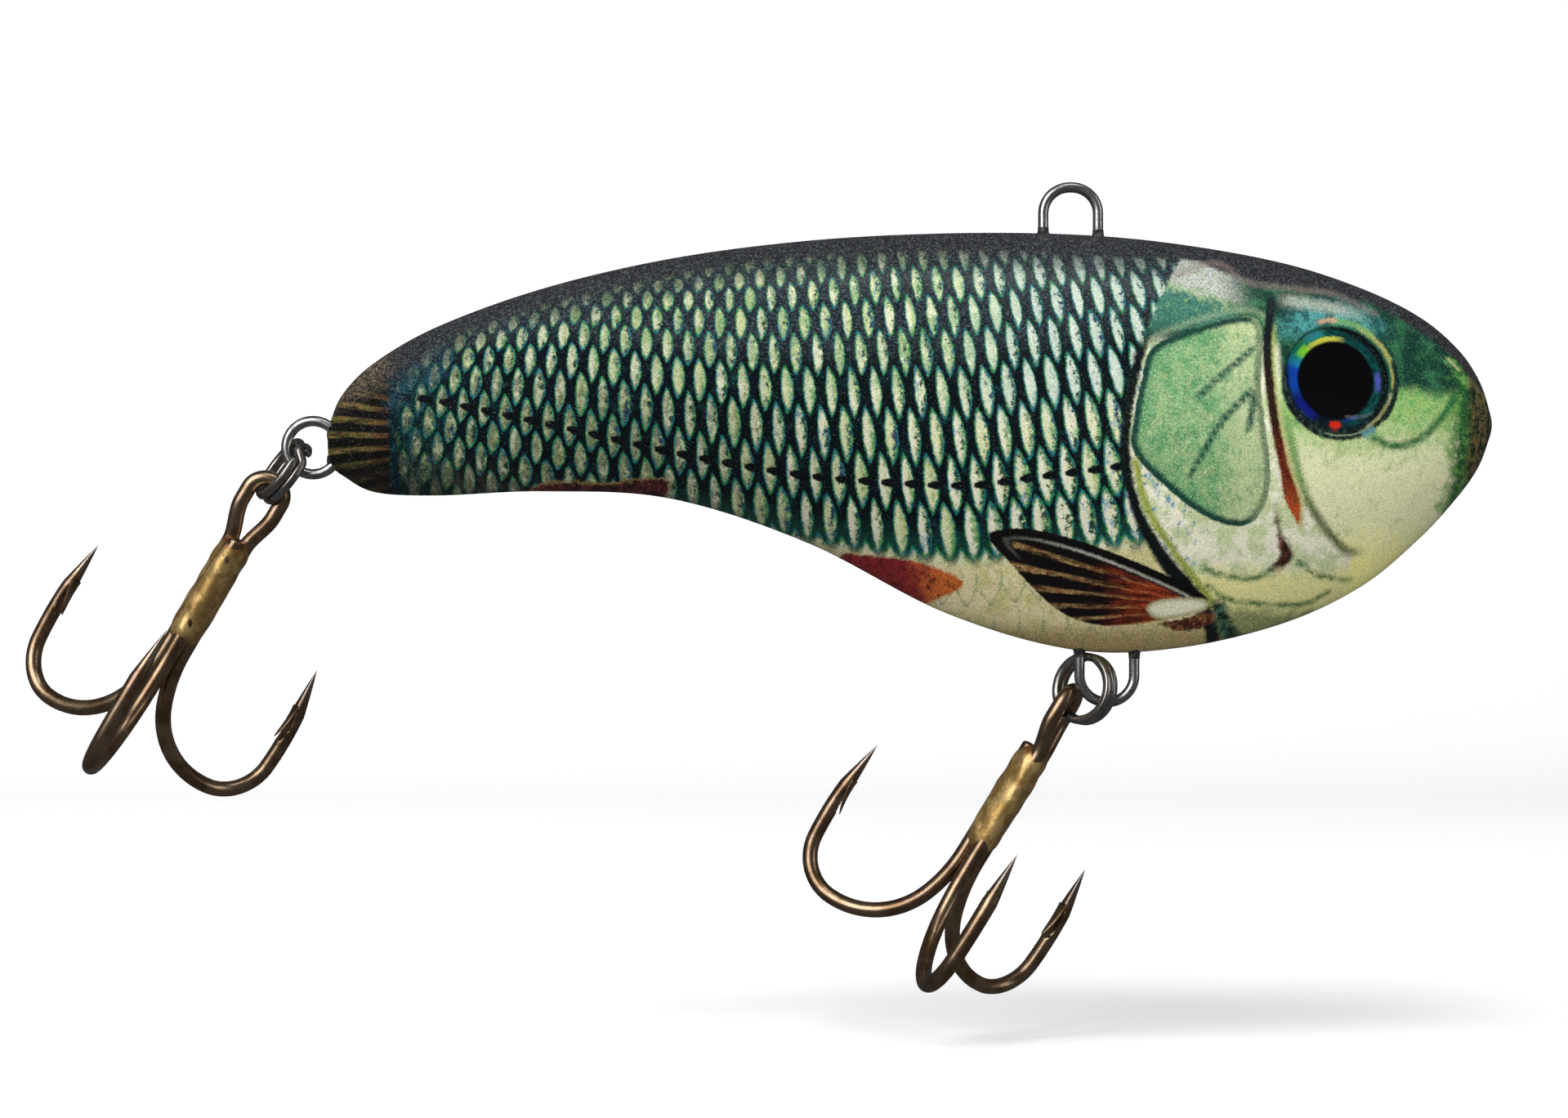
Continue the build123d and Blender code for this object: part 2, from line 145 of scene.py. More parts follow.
# ------------------------------------------------------------------ general helpers
def spline(points, per_span=16, closed=False):
    """A Catmull-Rom curve through the points, as an array."""
    points = np.asarray(points, float)
    count = len(points)
    if closed:
        spans = range(count)
        pick = lambda i: points[i % count]
    else:
        spans = range(count - 1)
        padded = np.vstack([2 * points[0] - points[1], points, 2 * points[-1] - points[-2]])
        pick = lambda i: padded[i + 1]
    t = np.linspace(0, 1, per_span, endpoint=False)[:, None]
    out = []
    for i in spans:
        a, b, c, d = pick(i - 1), pick(i), pick(i + 1), pick(i + 2)
        out.append(b + 0.5 * t * (c - a + t * (2 * a - 5 * b + 4 * c - d + t * (3 * (b - c) + d - a))))
    if not closed:
        out.append(points[-1:])
    return np.vstack(out)


def resample(line, count):
    """The same line as evenly spaced points."""
    steps = np.linalg.norm(np.diff(line[:, :3], axis=0), axis=1)
    run = np.concatenate([[0], np.cumsum(steps)])
    want = np.linspace(0, run[-1], count)
    return np.stack([np.interp(want, run, line[:, k]) for k in range(line.shape[1])], axis=1)


def mesh_object(name, verts, faces, material, smooth=True):
    """A mesh object from points in millimetres."""
    mesh = bpy.data.meshes.new(name)
    mesh.from_pydata([tuple(float(c) * MM for c in v) for v in verts], [], faces)
    mesh.validate()
    mesh.materials.append(material)
    for polygon in mesh.polygons:
        polygon.use_smooth = smooth
    obj = bpy.data.objects.new(name, mesh)
    bpy.context.scene.collection.objects.link(obj)
    return obj


def sharpen(obj, degrees=38):
    """Marks edges sharper than this, so that they shade as edges."""
    work = bmesh.new()
    work.from_mesh(obj.data)
    bmesh.ops.recalc_face_normals(work, faces=work.faces)
    for edge in work.edges:
        edge.smooth = len(edge.link_faces) == 2 and edge.calc_face_angle(0) < math.radians(degrees)
    work.to_mesh(obj.data)
    work.free()


def unit(v):
    """The vector at length 1."""
    v = np.asarray(v, float)
    return v / np.linalg.norm(v)


def swept(points, sizes, side_hint=(0, 1, 0), segments=20, squareness=1.0, start_dome=0.0, end_dome=0.0):
    """A closed tube along the points.  sizes are (half width along the hint, half height) at each
    point; squareness below 1 squares the section; a dome rounds an end."""
    points = np.asarray(points, float)
    sizes = np.asarray(sizes, float)
    if sizes.ndim == 1:
        sizes = np.stack([sizes, sizes], axis=1)
    tangents = np.gradient(points, axis=0)
    tangents /= np.linalg.norm(tangents, axis=1)[:, None]
    if start_dome:
        cap = []
        for a in np.linspace(0, math.pi / 2, 5)[:-1]:
            cap.append((points[0] - tangents[0] * start_dome * math.cos(a), sizes[0]
                        * max(math.sin(a), 0.02)))
        points = np.vstack([[c[0] for c in cap], points])
        sizes = np.vstack([[c[1] for c in cap], sizes])
        tangents = np.vstack([[tangents[0]] * len(cap), tangents])
    if end_dome:
        cap = []
        for a in np.linspace(math.pi / 2, 0, 5)[1:]:
            cap.append((points[-1] + tangents[-1] * end_dome * math.cos(a), sizes[-1]
                        * max(math.sin(a), 0.02)))
        points = np.vstack([points, [c[0] for c in cap]])
        sizes = np.vstack([sizes, [c[1] for c in cap]])
        tangents = np.vstack([tangents, [tangents[-1]] * len(cap)])
    side = unit(np.asarray(side_hint, float) - tangents[0] * np.dot(side_hint, tangents[0]))
    verts = []
    angles = np.linspace(0, 2 * math.pi, segments, endpoint=False)
    c, s = np.cos(angles), np.sin(angles)
    c = np.sign(c) * np.abs(c) ** squareness
    s = np.sign(s) * np.abs(s) ** squareness
    for p, t, size in zip(points, tangents, sizes):
        side = unit(side - t * np.dot(side, t))
        other = np.cross(t, side)
        verts.append(p + np.outer(c * size[0], side) + np.outer(s * size[1], other))
    rings = len(verts)
    verts = np.vstack(verts)
    faces = tube_faces(rings, segments)
    faces.append(tuple(reversed(range(segments))))
    faces.append(tuple(range((rings - 1) * segments, rings * segments)))
    return verts, faces


def tube_faces(rows, columns, first=0):
    """The faces between rows of points that close on themselves."""
    faces = []
    for i in range(rows - 1):
        for j in range(columns):
            a, b, k = first + i * columns, first + (i + 1) * columns, (j + 1) % columns
            faces.append((a + j, a + k, b + k, b + j))
    return faces


def own(obj, body, slot, *nodes):
    """Gives a piece its body and the CAD nodes it stands for; slot is not used."""
    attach(obj, body)
    if nodes:
        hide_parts(*nodes)
    return obj


def joined(parts):
    """Several (verts, faces) as one."""
    verts, faces, base = [], [], 0
    for part_verts, part_faces in parts:
        verts.append(np.asarray(part_verts, float))
        faces += [tuple(i + base for i in face) for face in part_faces]
        base += len(part_verts)
    return np.vstack(verts), faces


def arc_points(centre, radius, start, end, count):
    """Points of an arc on the XZ plane."""
    angles = np.radians(np.linspace(start, end, count))
    return np.stack([centre[0] + radius * np.cos(angles), 0 * angles, centre[1] + radius
                     * np.sin(angles)], axis=1)


# ------------------------------------------------------------------ node helpers
class Value:
    """An output of a material's nodes; sums, products and steps of it add nodes."""

    def __init__(self, net, socket):
        self.net = net
        self.socket = socket

    def __add__(self, other):
        return self.net.math("ADD", self, other)

    def __radd__(self, other):
        return self.net.math("ADD", other, self)

    def __sub__(self, other):
        return self.net.math("SUBTRACT", self, other)

    def __rsub__(self, other):
        return self.net.math("SUBTRACT", other, self)

    def __mul__(self, other):
        return self.net.math("MULTIPLY", self, other)

    def __rmul__(self, other):
        return self.net.math("MULTIPLY", other, self)

    def __truediv__(self, other):
        return self.net.math("DIVIDE", self, other)

    def __pow__(self, power):
        return self.net.math("POWER", self, power)

    def __abs__(self):
        return self.net.math("ABSOLUTE", self)

    def ramp(self, low, high, out_low=0.0, out_high=1.0):
        """A smooth step from low to high."""
        made = self.net.node("ShaderNodeMapRange", interpolation_type="SMOOTHSTEP")
        for socket, value in zip(made.inputs, (self, low, high, out_low, out_high)):
            self.net.put(socket, value)
        return Value(self.net, made.outputs[0])

    def line(self, half, soft=0.12):
        """1 within half of a line, 0 beyond, from a distance."""
        return self.ramp(half + soft, half - soft)

    def paint(self, factor, colour):
        """This colour with another laid over it."""
        return self.net.mix(factor, self, colour)


class Net:
    """The shader nodes of one material."""

    def __init__(self, name):
        self.material = bpy.data.materials.new(name)
        self.material.use_nodes = True
        self.tree = self.material.node_tree
        self.shader = self.tree.nodes["Principled BSDF"]
        self.spot = 0

    def node(self, kind, **settings):
        made = self.tree.nodes.new(kind)
        self.spot += 1
        made.location = (-200 * (self.spot % 12), -160 * (self.spot // 12))
        for key, value in settings.items():
            setattr(made, key, value)
        return made

    def put(self, socket, value):
        if isinstance(value, Value):
            self.tree.links.new(value.socket, socket)
        elif isinstance(value, (tuple, list)) and len(value) == 3 and socket.type == "RGBA":
            socket.default_value = (*value, 1.0)
        else:
            socket.default_value = value

    def math(self, operation, a, b=0.0, c=0.0, clamp=False):
        made = self.node("ShaderNodeMath", operation=operation, use_clamp=clamp)
        for socket, value in zip(made.inputs, (a, b, c)):
            self.put(socket, value)
        return Value(self, made.outputs[0])

    def most(self, a, b):
        return self.math("MAXIMUM", a, b)

    def mix(self, factor, a, b, blend="MIX"):
        made = self.node("ShaderNodeMix", data_type="RGBA", blend_type=blend)
        for index, value in ((0, factor), (6, a), (7, b)):
            self.put(made.inputs[index], value)
        return Value(self, made.outputs[2])

    def split(self, vector):
        made = self.node("ShaderNodeSeparateXYZ")
        self.put(made.inputs[0], vector)
        return [Value(self, socket) for socket in made.outputs]

    def join(self, x, y, z):
        made = self.node("ShaderNodeCombineXYZ")
        for socket, value in zip(made.inputs, (x, y, z)):
            self.put(socket, value)
        return Value(self, made.outputs[0])

    def millimetres(self):
        """Object coordinates in millimetres."""
        coordinates = self.node("ShaderNodeTexCoord")
        made = self.node("ShaderNodeVectorMath", operation="SCALE")
        self.tree.links.new(coordinates.outputs["Object"], made.inputs[0])
        made.inputs["Scale"].default_value = 1 / MM
        return Value(self, made.outputs[0])

    def scaled(self, vector, x, y, z):
        made = self.node("ShaderNodeVectorMath", operation="MULTIPLY")
        self.put(made.inputs[0], vector)
        made.inputs[1].default_value = (x, y, z)
        return Value(self, made.outputs[0])

    def noise(self, vector, scale, detail=2.0, rough=0.5):
        made = self.node("ShaderNodeTexNoise")
        self.put(made.inputs["Vector"], vector)
        made.inputs["Scale"].default_value = scale
        made.inputs["Detail"].default_value = detail
        made.inputs["Roughness"].default_value = rough
        return Value(self, made.outputs[0])

    def random(self, vector):
        made = self.node("ShaderNodeTexWhiteNoise")
        self.put(made.inputs["Vector"], vector)
        return Value(self, made.outputs["Value"])

    def attribute(self, name):
        made = self.node("ShaderNodeAttribute", attribute_name=name)
        return self.split(Value(self, made.outputs["Vector"]))

    def bump(self, height, strength, distance_mm):
        made = self.node("ShaderNodeBump")
        made.inputs["Strength"].default_value = strength
        made.inputs["Distance"].default_value = distance_mm * MM
        self.put(made.inputs["Height"], height)
        self.tree.links.new(made.outputs[0], self.shader.inputs["Normal"])

    def finish(self, **values):
        """Sets the shader's sockets; names have _ for spaces."""
        for key, value in values.items():
            self.put(self.shader.inputs[key.replace("_", " ")], value)
        return self.material


# ------------------------------------------------------------------ the print on the shells
# Curves of the print in millimetres, as seen from the side: (x, z).
BACK_EDGE = [(-72, -19), (-63.8, -15.4), (-58, -11.9), (-48, -8.7), (-33.4, -5.6), (-19.6, -4.4),
             (-7.4, -4.2), (3.3, -4.8), (10.5, -5.0), (15.9, -6.9), (26.5, -8.6), (34.0, -12.8),
             (37.4, -16.1), (41, -19)]
LATERAL = [(-72, -17.0), (-62, -17.7), (-57.4, -18.5), (-47.2, -20.7), (-36.6, -23.1), (-27.2, -24.8),
           (-20.1, -25.6), (-10.7, -26.1), (-5.5, -25.5), (2.4, -24.5), (12, -23.2)]
GILL = [(11.0, -3.0), (9.4, -5.6), (7.5, -8.6), (6.1, -11.9), (5.0, -15.2), (4.1, -19.6), (4.0, -24.0),
        (5.2, -28.6), (7.6, -32.6), (10.3, -35.6), (12.5, -38.6), (13.6, -41.0)]
GILL_EDGE = [(4.8, -23.7), (5.9, -27.8), (8.3, -31.6), (11.2, -35.2), (14.0, -38.6)]
OPERCLE = [(6.5, -13.5), (10.3, -11.7), (15.0, -10.5), (16.7, -11.6), (16.4, -17.5), (17.3, -25.3),
           (16.3, -28.9), (14.3, -29.8), (11.2, -28.8), (7.9, -26.4), (4.7, -23.1), (4.7, -20.0),
           (5.4, -16.5)]
OPERCLE_RAYS = [
    [(15.8, -13.5), (13.4, -15.5), (10.6, -18.0)],
    [(15.4, -17.5), (12.6, -20.5), (9.9, -25.2)],
    [(15.8, -18.0), (15.2, -21.0)],
]
PREOPERCLE = [(17.9, -9.0), (17.1, -13.7), (17.5, -19.5), (18.7, -24.9), (20.2, -29.6)]
PREOPERCLE_TAIL = [(17.8, -27.6), (18.5, -30.6), (19.3, -32.4), (18.3, -33.9)]
CHEEK = [(18.6, -19.5), (19.9, -24.9), (21.7, -28.6), (24.9, -31.9), (27.7, -32.1)]
THROATS = [
    [(11.7, -35.1), (14.7, -36.7), (21.2, -37.1), (24.0, -35.9)],
    [(11.3, -33.6), (13.9, -34.4), (16.8, -34.5), (19.2, -32.7)],
    [(20.5, -33.1), (22.9, -34.4), (26.0, -34.8)],
]
JAW = [(26.9, -21.6), (29.0, -22.4), (31.5, -21.8), (33.6, -20.0), (35.1, -18.0)]
BACK_STRIPE = [(9.0, -6.6), (10.8, -5.8), (13.6, -5.2), (15.6, -7.0), (19.4, -7.6), (24.2, -8.1),
               (28.0, -9.9)]
PECTORAL = [(-8.4, -30.6), (-6.4, -30.0), (-3.3, -30.3), (2.2, -31.9), (10.7, -35.5), (12.0, -37.2),
            (7.6, -38.6), (2.2, -39.0), (-2.2, -37.2), (-7.3, -32.1)]
PECTORAL_ROOT = (14.0, -37.5)
PECTORAL_BASE = [(6.5, -37.3), (8.1, -36.5), (11.8, -36.5), (12.2, -37.5), (10.0, -38.2), (7.5, -38.4)]
PELVIC = [(-22.0, -32.5), (-19.0, -32.5), (-14.4, -33.2), (-10.5, -35.0), (-13.0, -36.7),
          (-16.0, -37.5), (-22.5, -35.0)]
ANAL = [(-51.2, -26.3), (-49.0, -25.5), (-44.0, -25.6), (-39.4, -25.2), (-37.9, -25.8), (-40.0, -28.5),
        (-46.0, -28.5), (-51.3, -28.0)]
PRINTED_EYE = (23.85, -16.25)
PECTORAL_LOBE = [(7.8, -38.8), (10.1, -38.4), (12.5, -37.7), (13.1, -38.4), (12.2, -39.2),
                 (10.4, -39.6), (8.8, -39.3)]
GILL_FOOT = [(13.4, -37.4), (14.3, -39.2), (15.6, -40.6)]
TAIL_BAND_X = -64.3
SCALE_PITCH = 2.1


def distance_to(points, line):
    """Distance from each point to a polyline."""
    best = np.full(len(points), 1e9)
    for a, b in zip(line[:-1], line[1:]):
        ab = b - a
        share = np.clip(((points - a) @ ab) / max(ab @ ab, 1e-9), 0, 1)
        best = np.minimum(best, np.linalg.norm(points - a - share[:, None] * ab, axis=1))
    return best


def within(points, outline):
    """Which points lie inside a closed outline."""
    inside = np.zeros(len(points), bool)
    x, z = points[:, 0], points[:, 1]
    for (x1, z1), (x2, z2) in zip(outline, np.roll(outline, -1, axis=0)):
        crosses = (z1 > z) != (z2 > z)
        at = (x2 - x1) * (z - z1) / (z2 - z1 if z2 != z1 else 1e-9) + x1
        inside ^= crosses & (x < at)
    return inside


def signed(points, outline):
    """Distance to a closed smooth outline, positive inside."""
    line = spline(outline, 8, closed=True)
    far = distance_to(points, np.vstack([line, line[:1]]))
    return np.where(within(points, line), far, -far)


def above(points, line, x_first=True):
    """Height of each point above a curve z(x), or how far in front of a curve x(z) it lies."""
    line = spline(line, 10)
    if x_first:
        return points[:, 1] - np.interp(points[:, 0], line[:, 0], line[:, 1])
    order = np.argsort(line[:, 1])
    return points[:, 0] - np.interp(points[:, 1], line[order, 1], line[order, 0])


def store(mesh, name, *columns):
    """Stores up to three values per vertex as one vector attribute."""
    values = np.zeros((len(mesh.vertices), 3), np.float32)
    for k, column in enumerate(columns):
        values[:, k] = column
    mesh.attributes.new(name, "FLOAT_VECTOR", "POINT").data.foreach_set("vector", values.ravel())


def store_print(mesh):
    """Works out where every vertex lies in the print."""
    flat = np.empty(len(mesh.vertices) * 3, np.float32)
    mesh.vertices.foreach_get("co", flat)
    place = flat.reshape(-1, 3) / MM
    p = place[:, [0, 2]].astype(float)
    x = p[:, 0]

    # scales: columns of equal pitch, rows that close up towards the back, the belly and the tail
    up = above(p, LATERAL)
    pitch_up = np.interp(x, [-70, -60, -47, -16.5, 12], [1.9, 2.4, 3.75, 4.55, 4.8])
    squeeze = np.interp(x, [-60, -47, -16.5], [0.085, 0.0675, 0.036])
    pitch_down = np.interp(x, [-70, -60, -47, -16.5, 12], [1.9, 2.2, 2.5, 4.1, 4.6])
    root = np.clip(1 - 4 * squeeze * np.maximum(up, 0) / pitch_up, 0.02, None)
    row = np.where(up > 0, (1 - np.sqrt(root)) / (2 * squeeze), up / pitch_down)
    lean = np.interp(x, [-60, -30, 5], [0.12, -0.05, -0.22])
    column = x / SCALE_PITCH - lean * (p[:, 1] + 25) / SCALE_PITCH
    store(mesh, "scales", column, row, up)

    gill_front = above(p, GILL, x_first=False)
    store(mesh, "zones", above(p, BACK_EDGE), gill_front, x - TAIL_BAND_X)
    store(mesh, "gill", distance_to(p, spline(GILL)), distance_to(p, spline(GILL_EDGE)), signed(p, OPERCLE))
    rays = np.min([distance_to(p, spline(ray)) for ray in OPERCLE_RAYS], axis=0)
    store(mesh, "plate", rays, distance_to(p, spline(PREOPERCLE)), distance_to(p, spline(PREOPERCLE_TAIL)))
    throats = np.min([distance_to(p, spline(throat)) for throat in THROATS], axis=0)
    store(mesh, "cheek", distance_to(p, spline(CHEEK)), throats, distance_to(p, spline(JAW)))
    cheek_front = above(p, CHEEK, x_first=False)
    store(mesh, "head", distance_to(p, spline(BACK_STRIPE)), cheek_front,
          np.linalg.norm(p - PRINTED_EYE, axis=1))
    from_root = p - PECTORAL_ROOT
    ray_angle = np.arctan2(from_root[:, 1], -from_root[:, 0])
    store(mesh, "pectoral", signed(p, PECTORAL), ray_angle, -from_root[:, 0])
    store(mesh, "fins", signed(p, PECTORAL_BASE), signed(p, PELVIC), signed(p, ANAL))
    to_eye = p - PRINTED_EYE
    to_eye /= np.maximum(np.linalg.norm(to_eye, axis=1), 0.01)[:, None]
    store(mesh, "bar", above(p, PREOPERCLE, x_first=False), to_eye[:, 0], to_eye[:, 1])
    store(mesh, "marks", signed(p, PECTORAL_LOBE), distance_to(p, spline(GILL_FOOT)))


def printed_material():
    """The painted fish: scales, head, fins, tail and back, laid over one another."""
    net = Net("printed_fish_lacquer")
    mm = net.millimetres()
    x, _, z = net.split(mm)
    column, row, up = net.attribute("scales")
    back, gill_front, tail = net.attribute("zones")
    gill, gill_edge, opercle = net.attribute("gill")
    rays, preopercle, preopercle_tail = net.attribute("plate")
    cheek, throat, jaw = net.attribute("cheek")
    stripe, cheek_front, eye = net.attribute("head")
    pectoral, ray_angle, ray_run = net.attribute("pectoral")
    base, pelvic, anal = net.attribute("fins")
    lobe, gill_foot, _ = net.attribute("marks")
    bar_front, eye_cos, eye_sin = net.attribute("bar")

    def round_eye(degrees):
        """Cosine of the angle between a place and a direction from the printed eye."""
        turn = math.radians(degrees)
        return eye_cos * math.cos(turn) + eye_sin * math.sin(turn)

    # noises shared by the whole print
    side = net.scaled(mm, 1, 0.35, 1)
    cloud = net.noise(side, 0.62, 5, 0.68)
    dapple = net.noise(net.scaled(mm, 1.3, 0.4, 0.8), 1.25, 4, 0.7)
    ragged = net.noise(side, 2.1, 4, 0.72) - 0.5
    jagged = net.noise(net.scaled(mm, 1.0, 0.35, 0.9), 3.0, 3, 0.8) - 0.5
    grain = net.noise(side, 4.6, 2, 0.8)
    glitter = net.noise(net.scaled(mm, 1.0, 0.5, 1.3), 6.5, 1, 0.9)

    # --- scales: two rows of lenses reach any point, and the nearer one shows
    lower_row = net.math("FLOOR", row)
    sparse = x.ramp(-45.0, -64.0)
    low_rows = row.ramp(-1.3, -1.9) * x.ramp(-44.0, -36.0)
    half_height = 0.61 + sparse * 0.08
    half_width = 0.262 + low_rows * 0.15 - sparse * 0.02
    half_width = half_width - up.ramp(5.0, 16.0) * 0.03
    half_width = half_width + x.ramp(-18.0, -2.0) * up.ramp(4.0, -1.0, 0.02, 0.1)

    def scale_row(number):
        """Lens value, place across it and two random picks, for one row of scales."""
        odd = net.math("PINGPONG", number, 1.0)
        along = row - number + ragged * 0.1
        bow = along * along * 0.22
        shifted = column + odd * 0.5 + (ragged * 0.11 + bow)
        number_across = net.math("FLOOR", shifted)
        across = net.math("FRACT", shifted) - 0.5 + 0.045
        pick = net.random(net.join(number_across, number, 0.0))
        pick_2 = net.random(net.join(number, number_across, 7.0))
        width = half_width + (pick - 0.5) * 0.05
        right_side = across.ramp(-0.04, 0.08)
        width = width * (1.16 - right_side * (0.2 + jagged * 1.1))
        lens = 1.0 - ((abs(across) / width) ** 1.45 + (abs(along) / half_height) ** 1.8)
        return lens, across, pick, pick_2, along

    lens_a, across_a, pick_a, pick_2a, along_a = scale_row(lower_row)
    lens_b, across_b, pick_b, pick_2b, along_b = scale_row(lower_row + 1.0)
    second = net.math("GREATER_THAN", lens_b, lens_a)

    def nearer(a, b):
        return b * second + a * (1.0 - second)

    lens = net.most(lens_a, lens_b)
    across, pick = nearer(across_a, across_b), nearer(pick_a, pick_b)
    pick_2, along = nearer(pick_2a, pick_2b), nearer(along_a, along_b)

    # each lens: pale on the left, green to yellow on the right, with dark bites and blue ones
    cream = net.mix(pick.ramp(0.3, 0.9), (0.62, 0.61, 0.46), (0.52, 0.55, 0.32))
    warm = (across + ragged * 0.4).ramp(-0.12, 0.12) * dapple.ramp(0.38, 0.54)
    cream = cream.paint(warm * 0.65, (0.36, 0.42, 0.08))
    leaf = (across + ragged * 0.6).ramp(-0.08, 0.14) * cloud.ramp(0.44, 0.56)
    cream = cream.paint(leaf * 0.85, (0.055, 0.24, 0.07))
    cream = cream.paint(pick_2.ramp(0.55, 0.8) * (dapple.ramp(0.5, 0.62) * 0.75), (0.12, 0.25, 0.34))
    upper_green = up.ramp(5.0, 11.0) * cloud.ramp(0.42, 0.58, 0.1, 0.8)
    cream = cream.paint(upper_green, (0.2, 0.32, 0.13))
    upper_blue = up.ramp(4.0, 8.0) * x.ramp(-16.0, -2.0, 0.0, 0.7)
    cream = cream.paint(upper_blue, (0.44, 0.52, 0.48))
    tail_side = x.ramp(-12.0, -44.0) * dapple.ramp(0.36, 0.56, 0.4, 0.9)
    tail_side = tail_side * up.ramp(7.0, 3.5, 0.4, 1.0)
    cream = cream.paint(tail_side, (0.11, 0.135, 0.06))
    bite = (across + ragged * 1.1).ramp(0.0, 0.14) * pick_2.ramp(0.05, 0.4)
    bite = bite * (dapple + ragged * 0.3).ramp(0.44, 0.54)
    cream = cream.paint(bite * 0.95, net.mix(pick.ramp(0.6, 0.9), (0.003, 0.025, 0.018),
                                             (0.01, 0.03, 0.1)))

    green = net.mix(dapple.ramp(0.42, 0.58), (0.015, 0.16, 0.045), (0.004, 0.12, 0.14))
    net_dark = net.mix(cloud.ramp(0.52, 0.72), (0.0015, 0.0045, 0.007), (0.002, 0.026, 0.03))
    net_dark = net_dark.paint(row.ramp(-0.8, -1.5) * x.ramp(-42.0, -34.0, 0.0, 0.7),
                              (0.005, 0.062, 0.038))
    net_high = net.mix(grain.ramp(0.46, 0.68), (0.006, 0.011, 0.015), (0.05, 0.07, 0.08))
    net_colour = net.mix(row.ramp(2.4, 3.4), net_dark, net_high)
    edge = lens + ragged * 0.4
    scales = net.mix(edge.ramp(-0.2, 0.02), net_colour, green)
    scales = scales.paint(edge.ramp(0.02, 0.42), cream)
    dim_top = back.ramp(-3.2, -0.6) * 0.55
    scales = scales.paint(dim_top, net_high)
    near_tail = x.ramp(-57.0, -62.5) * dapple.ramp(0.38, 0.6, 0.3, 0.85)
    scales = scales.paint(near_tail, net.mix(dapple.ramp(0.54, 0.68), (0.002, 0.026, 0.026),
                                             (0.005, 0.055, 0.095)))

    # towards the belly only thin green outlines are left on cream
    belly_colour = net.mix(cloud.ramp(0.38, 0.62), (0.68, 0.59, 0.35), (0.52, 0.48, 0.21))
    belly_colour = belly_colour.paint(dapple.ramp(0.55, 0.7, 0.0, 0.5), (0.3, 0.36, 0.15))
    # painted shade: the belly goes darker brown towards its bottom edge
    belly_colour = belly_colour.paint((z + (cloud - 0.5) * 2.0).ramp(-38.2, -40.4), (0.36, 0.28, 0.12))
    outline = abs(edge + 0.1).line(0.14, 0.16) * along.ramp(0.25, -0.15)
    outline = outline * row.ramp(-3.9, -3.2)
    belly_scales = net.mix(outline * 0.55, belly_colour, net.mix(0.5, green, (0.02, 0.2, 0.08)))
    belly_row = row + ragged * 0.25
    scales = scales.paint(belly_row.ramp(-1.5, -1.9) * x.ramp(-42.0, -34.0), belly_scales)
    shadow_low = net.mix(dapple.ramp(0.42, 0.6), (0.002, 0.012, 0.009), (0.055, 0.048, 0.024))
    shade = row.ramp(-1.6, -3.6, 0.0, 0.55) * x.ramp(-36.0, -46.0)
    scales = scales.paint(shade, shadow_low)

    # the lateral line's dashes
    dash_up = abs(up + ragged * 0.25)
    dash = dash_up.line(across.ramp(-0.2, 0.15, 0.2, 0.4), 0.1) * abs(across - 0.16).line(0.34, 0.05)
    dash = dash * abs(row).ramp(0.45, 0.35)
    scales = scales.paint(dash, (0.002, 0.004, 0.005))

    # --- head
    height = z + (cloud - 0.5) * 6.0
    cheeks = net.mix(height.ramp(-19.0, -24.5), (0.25, 0.42, 0.13), (0.64, 0.65, 0.39))
    cheeks = cheeks.paint(dapple.ramp(0.5, 0.64) * z.ramp(-26.0, -19.0), (0.12, 0.36, 0.1))
    cheeks = cheeks.paint(cloud.ramp(0.55, 0.68) * 0.6, (0.36, 0.42, 0.18))
    cheeks = cheeks.paint(height.ramp(-28.5, -34.0), (0.79, 0.75, 0.29))
    # painted shade: darker olive along the bottom edge of the head
    cheeks = cheeks.paint((z + (cloud - 0.5) * 3.0).ramp(-36.8, -38.6), (0.26, 0.28, 0.11))
    forehead = net.mix(cloud.ramp(0.42, 0.64), (0.005, 0.034, 0.022), (0.022, 0.11, 0.048))
    forehead_edge = z + x * 0.1 + (cloud - 0.5) * 3.0
    head = net.mix(forehead_edge.ramp(-15.0, -13.4), cheeks, forehead)
    snout = net.mix(cloud.ramp(0.44, 0.6), (0.012, 0.085, 0.022), (0.12, 0.28, 0.06))
    head = head.paint((x + (cloud - 0.5) * 5.0).ramp(34.2, 35.8), snout)
    nose_dark = net.mix(dapple.ramp(0.42, 0.56), (0.008, 0.018, 0.008), (0.11, 0.085, 0.03))
    head = head.paint(x.ramp(36.2, 37.4) * z.ramp(-27.0, -24.0), nose_dark)
    teal = eye.ramp(8.6, 6.4) * z.ramp(-13.5, -11.0)
    teal = teal * x.ramp(30.5, 27.0)
    head = head.paint(teal, net.mix(cloud.ramp(0.42, 0.6), (0.014, 0.085, 0.085), (0.055, 0.24, 0.23)))
    pale_brow = abs(back + (1.5 + ragged * 1.2)).line(0.55, 0.5) * (x.ramp(18.0, 20.0)
                                                                    * x.ramp(28.0, 24.0))
    head = head.paint(pale_brow * 0.75, (0.34, 0.38, 0.31))
    nostril = abs(x - 35.4 + (z + 14.6) * 0.9)
    nostril = nostril.line(0.2, 0.15) * abs(z + 14.6).line(0.6, 0.2)
    head = head.paint(nostril, (0.3, 0.32, 0.16))

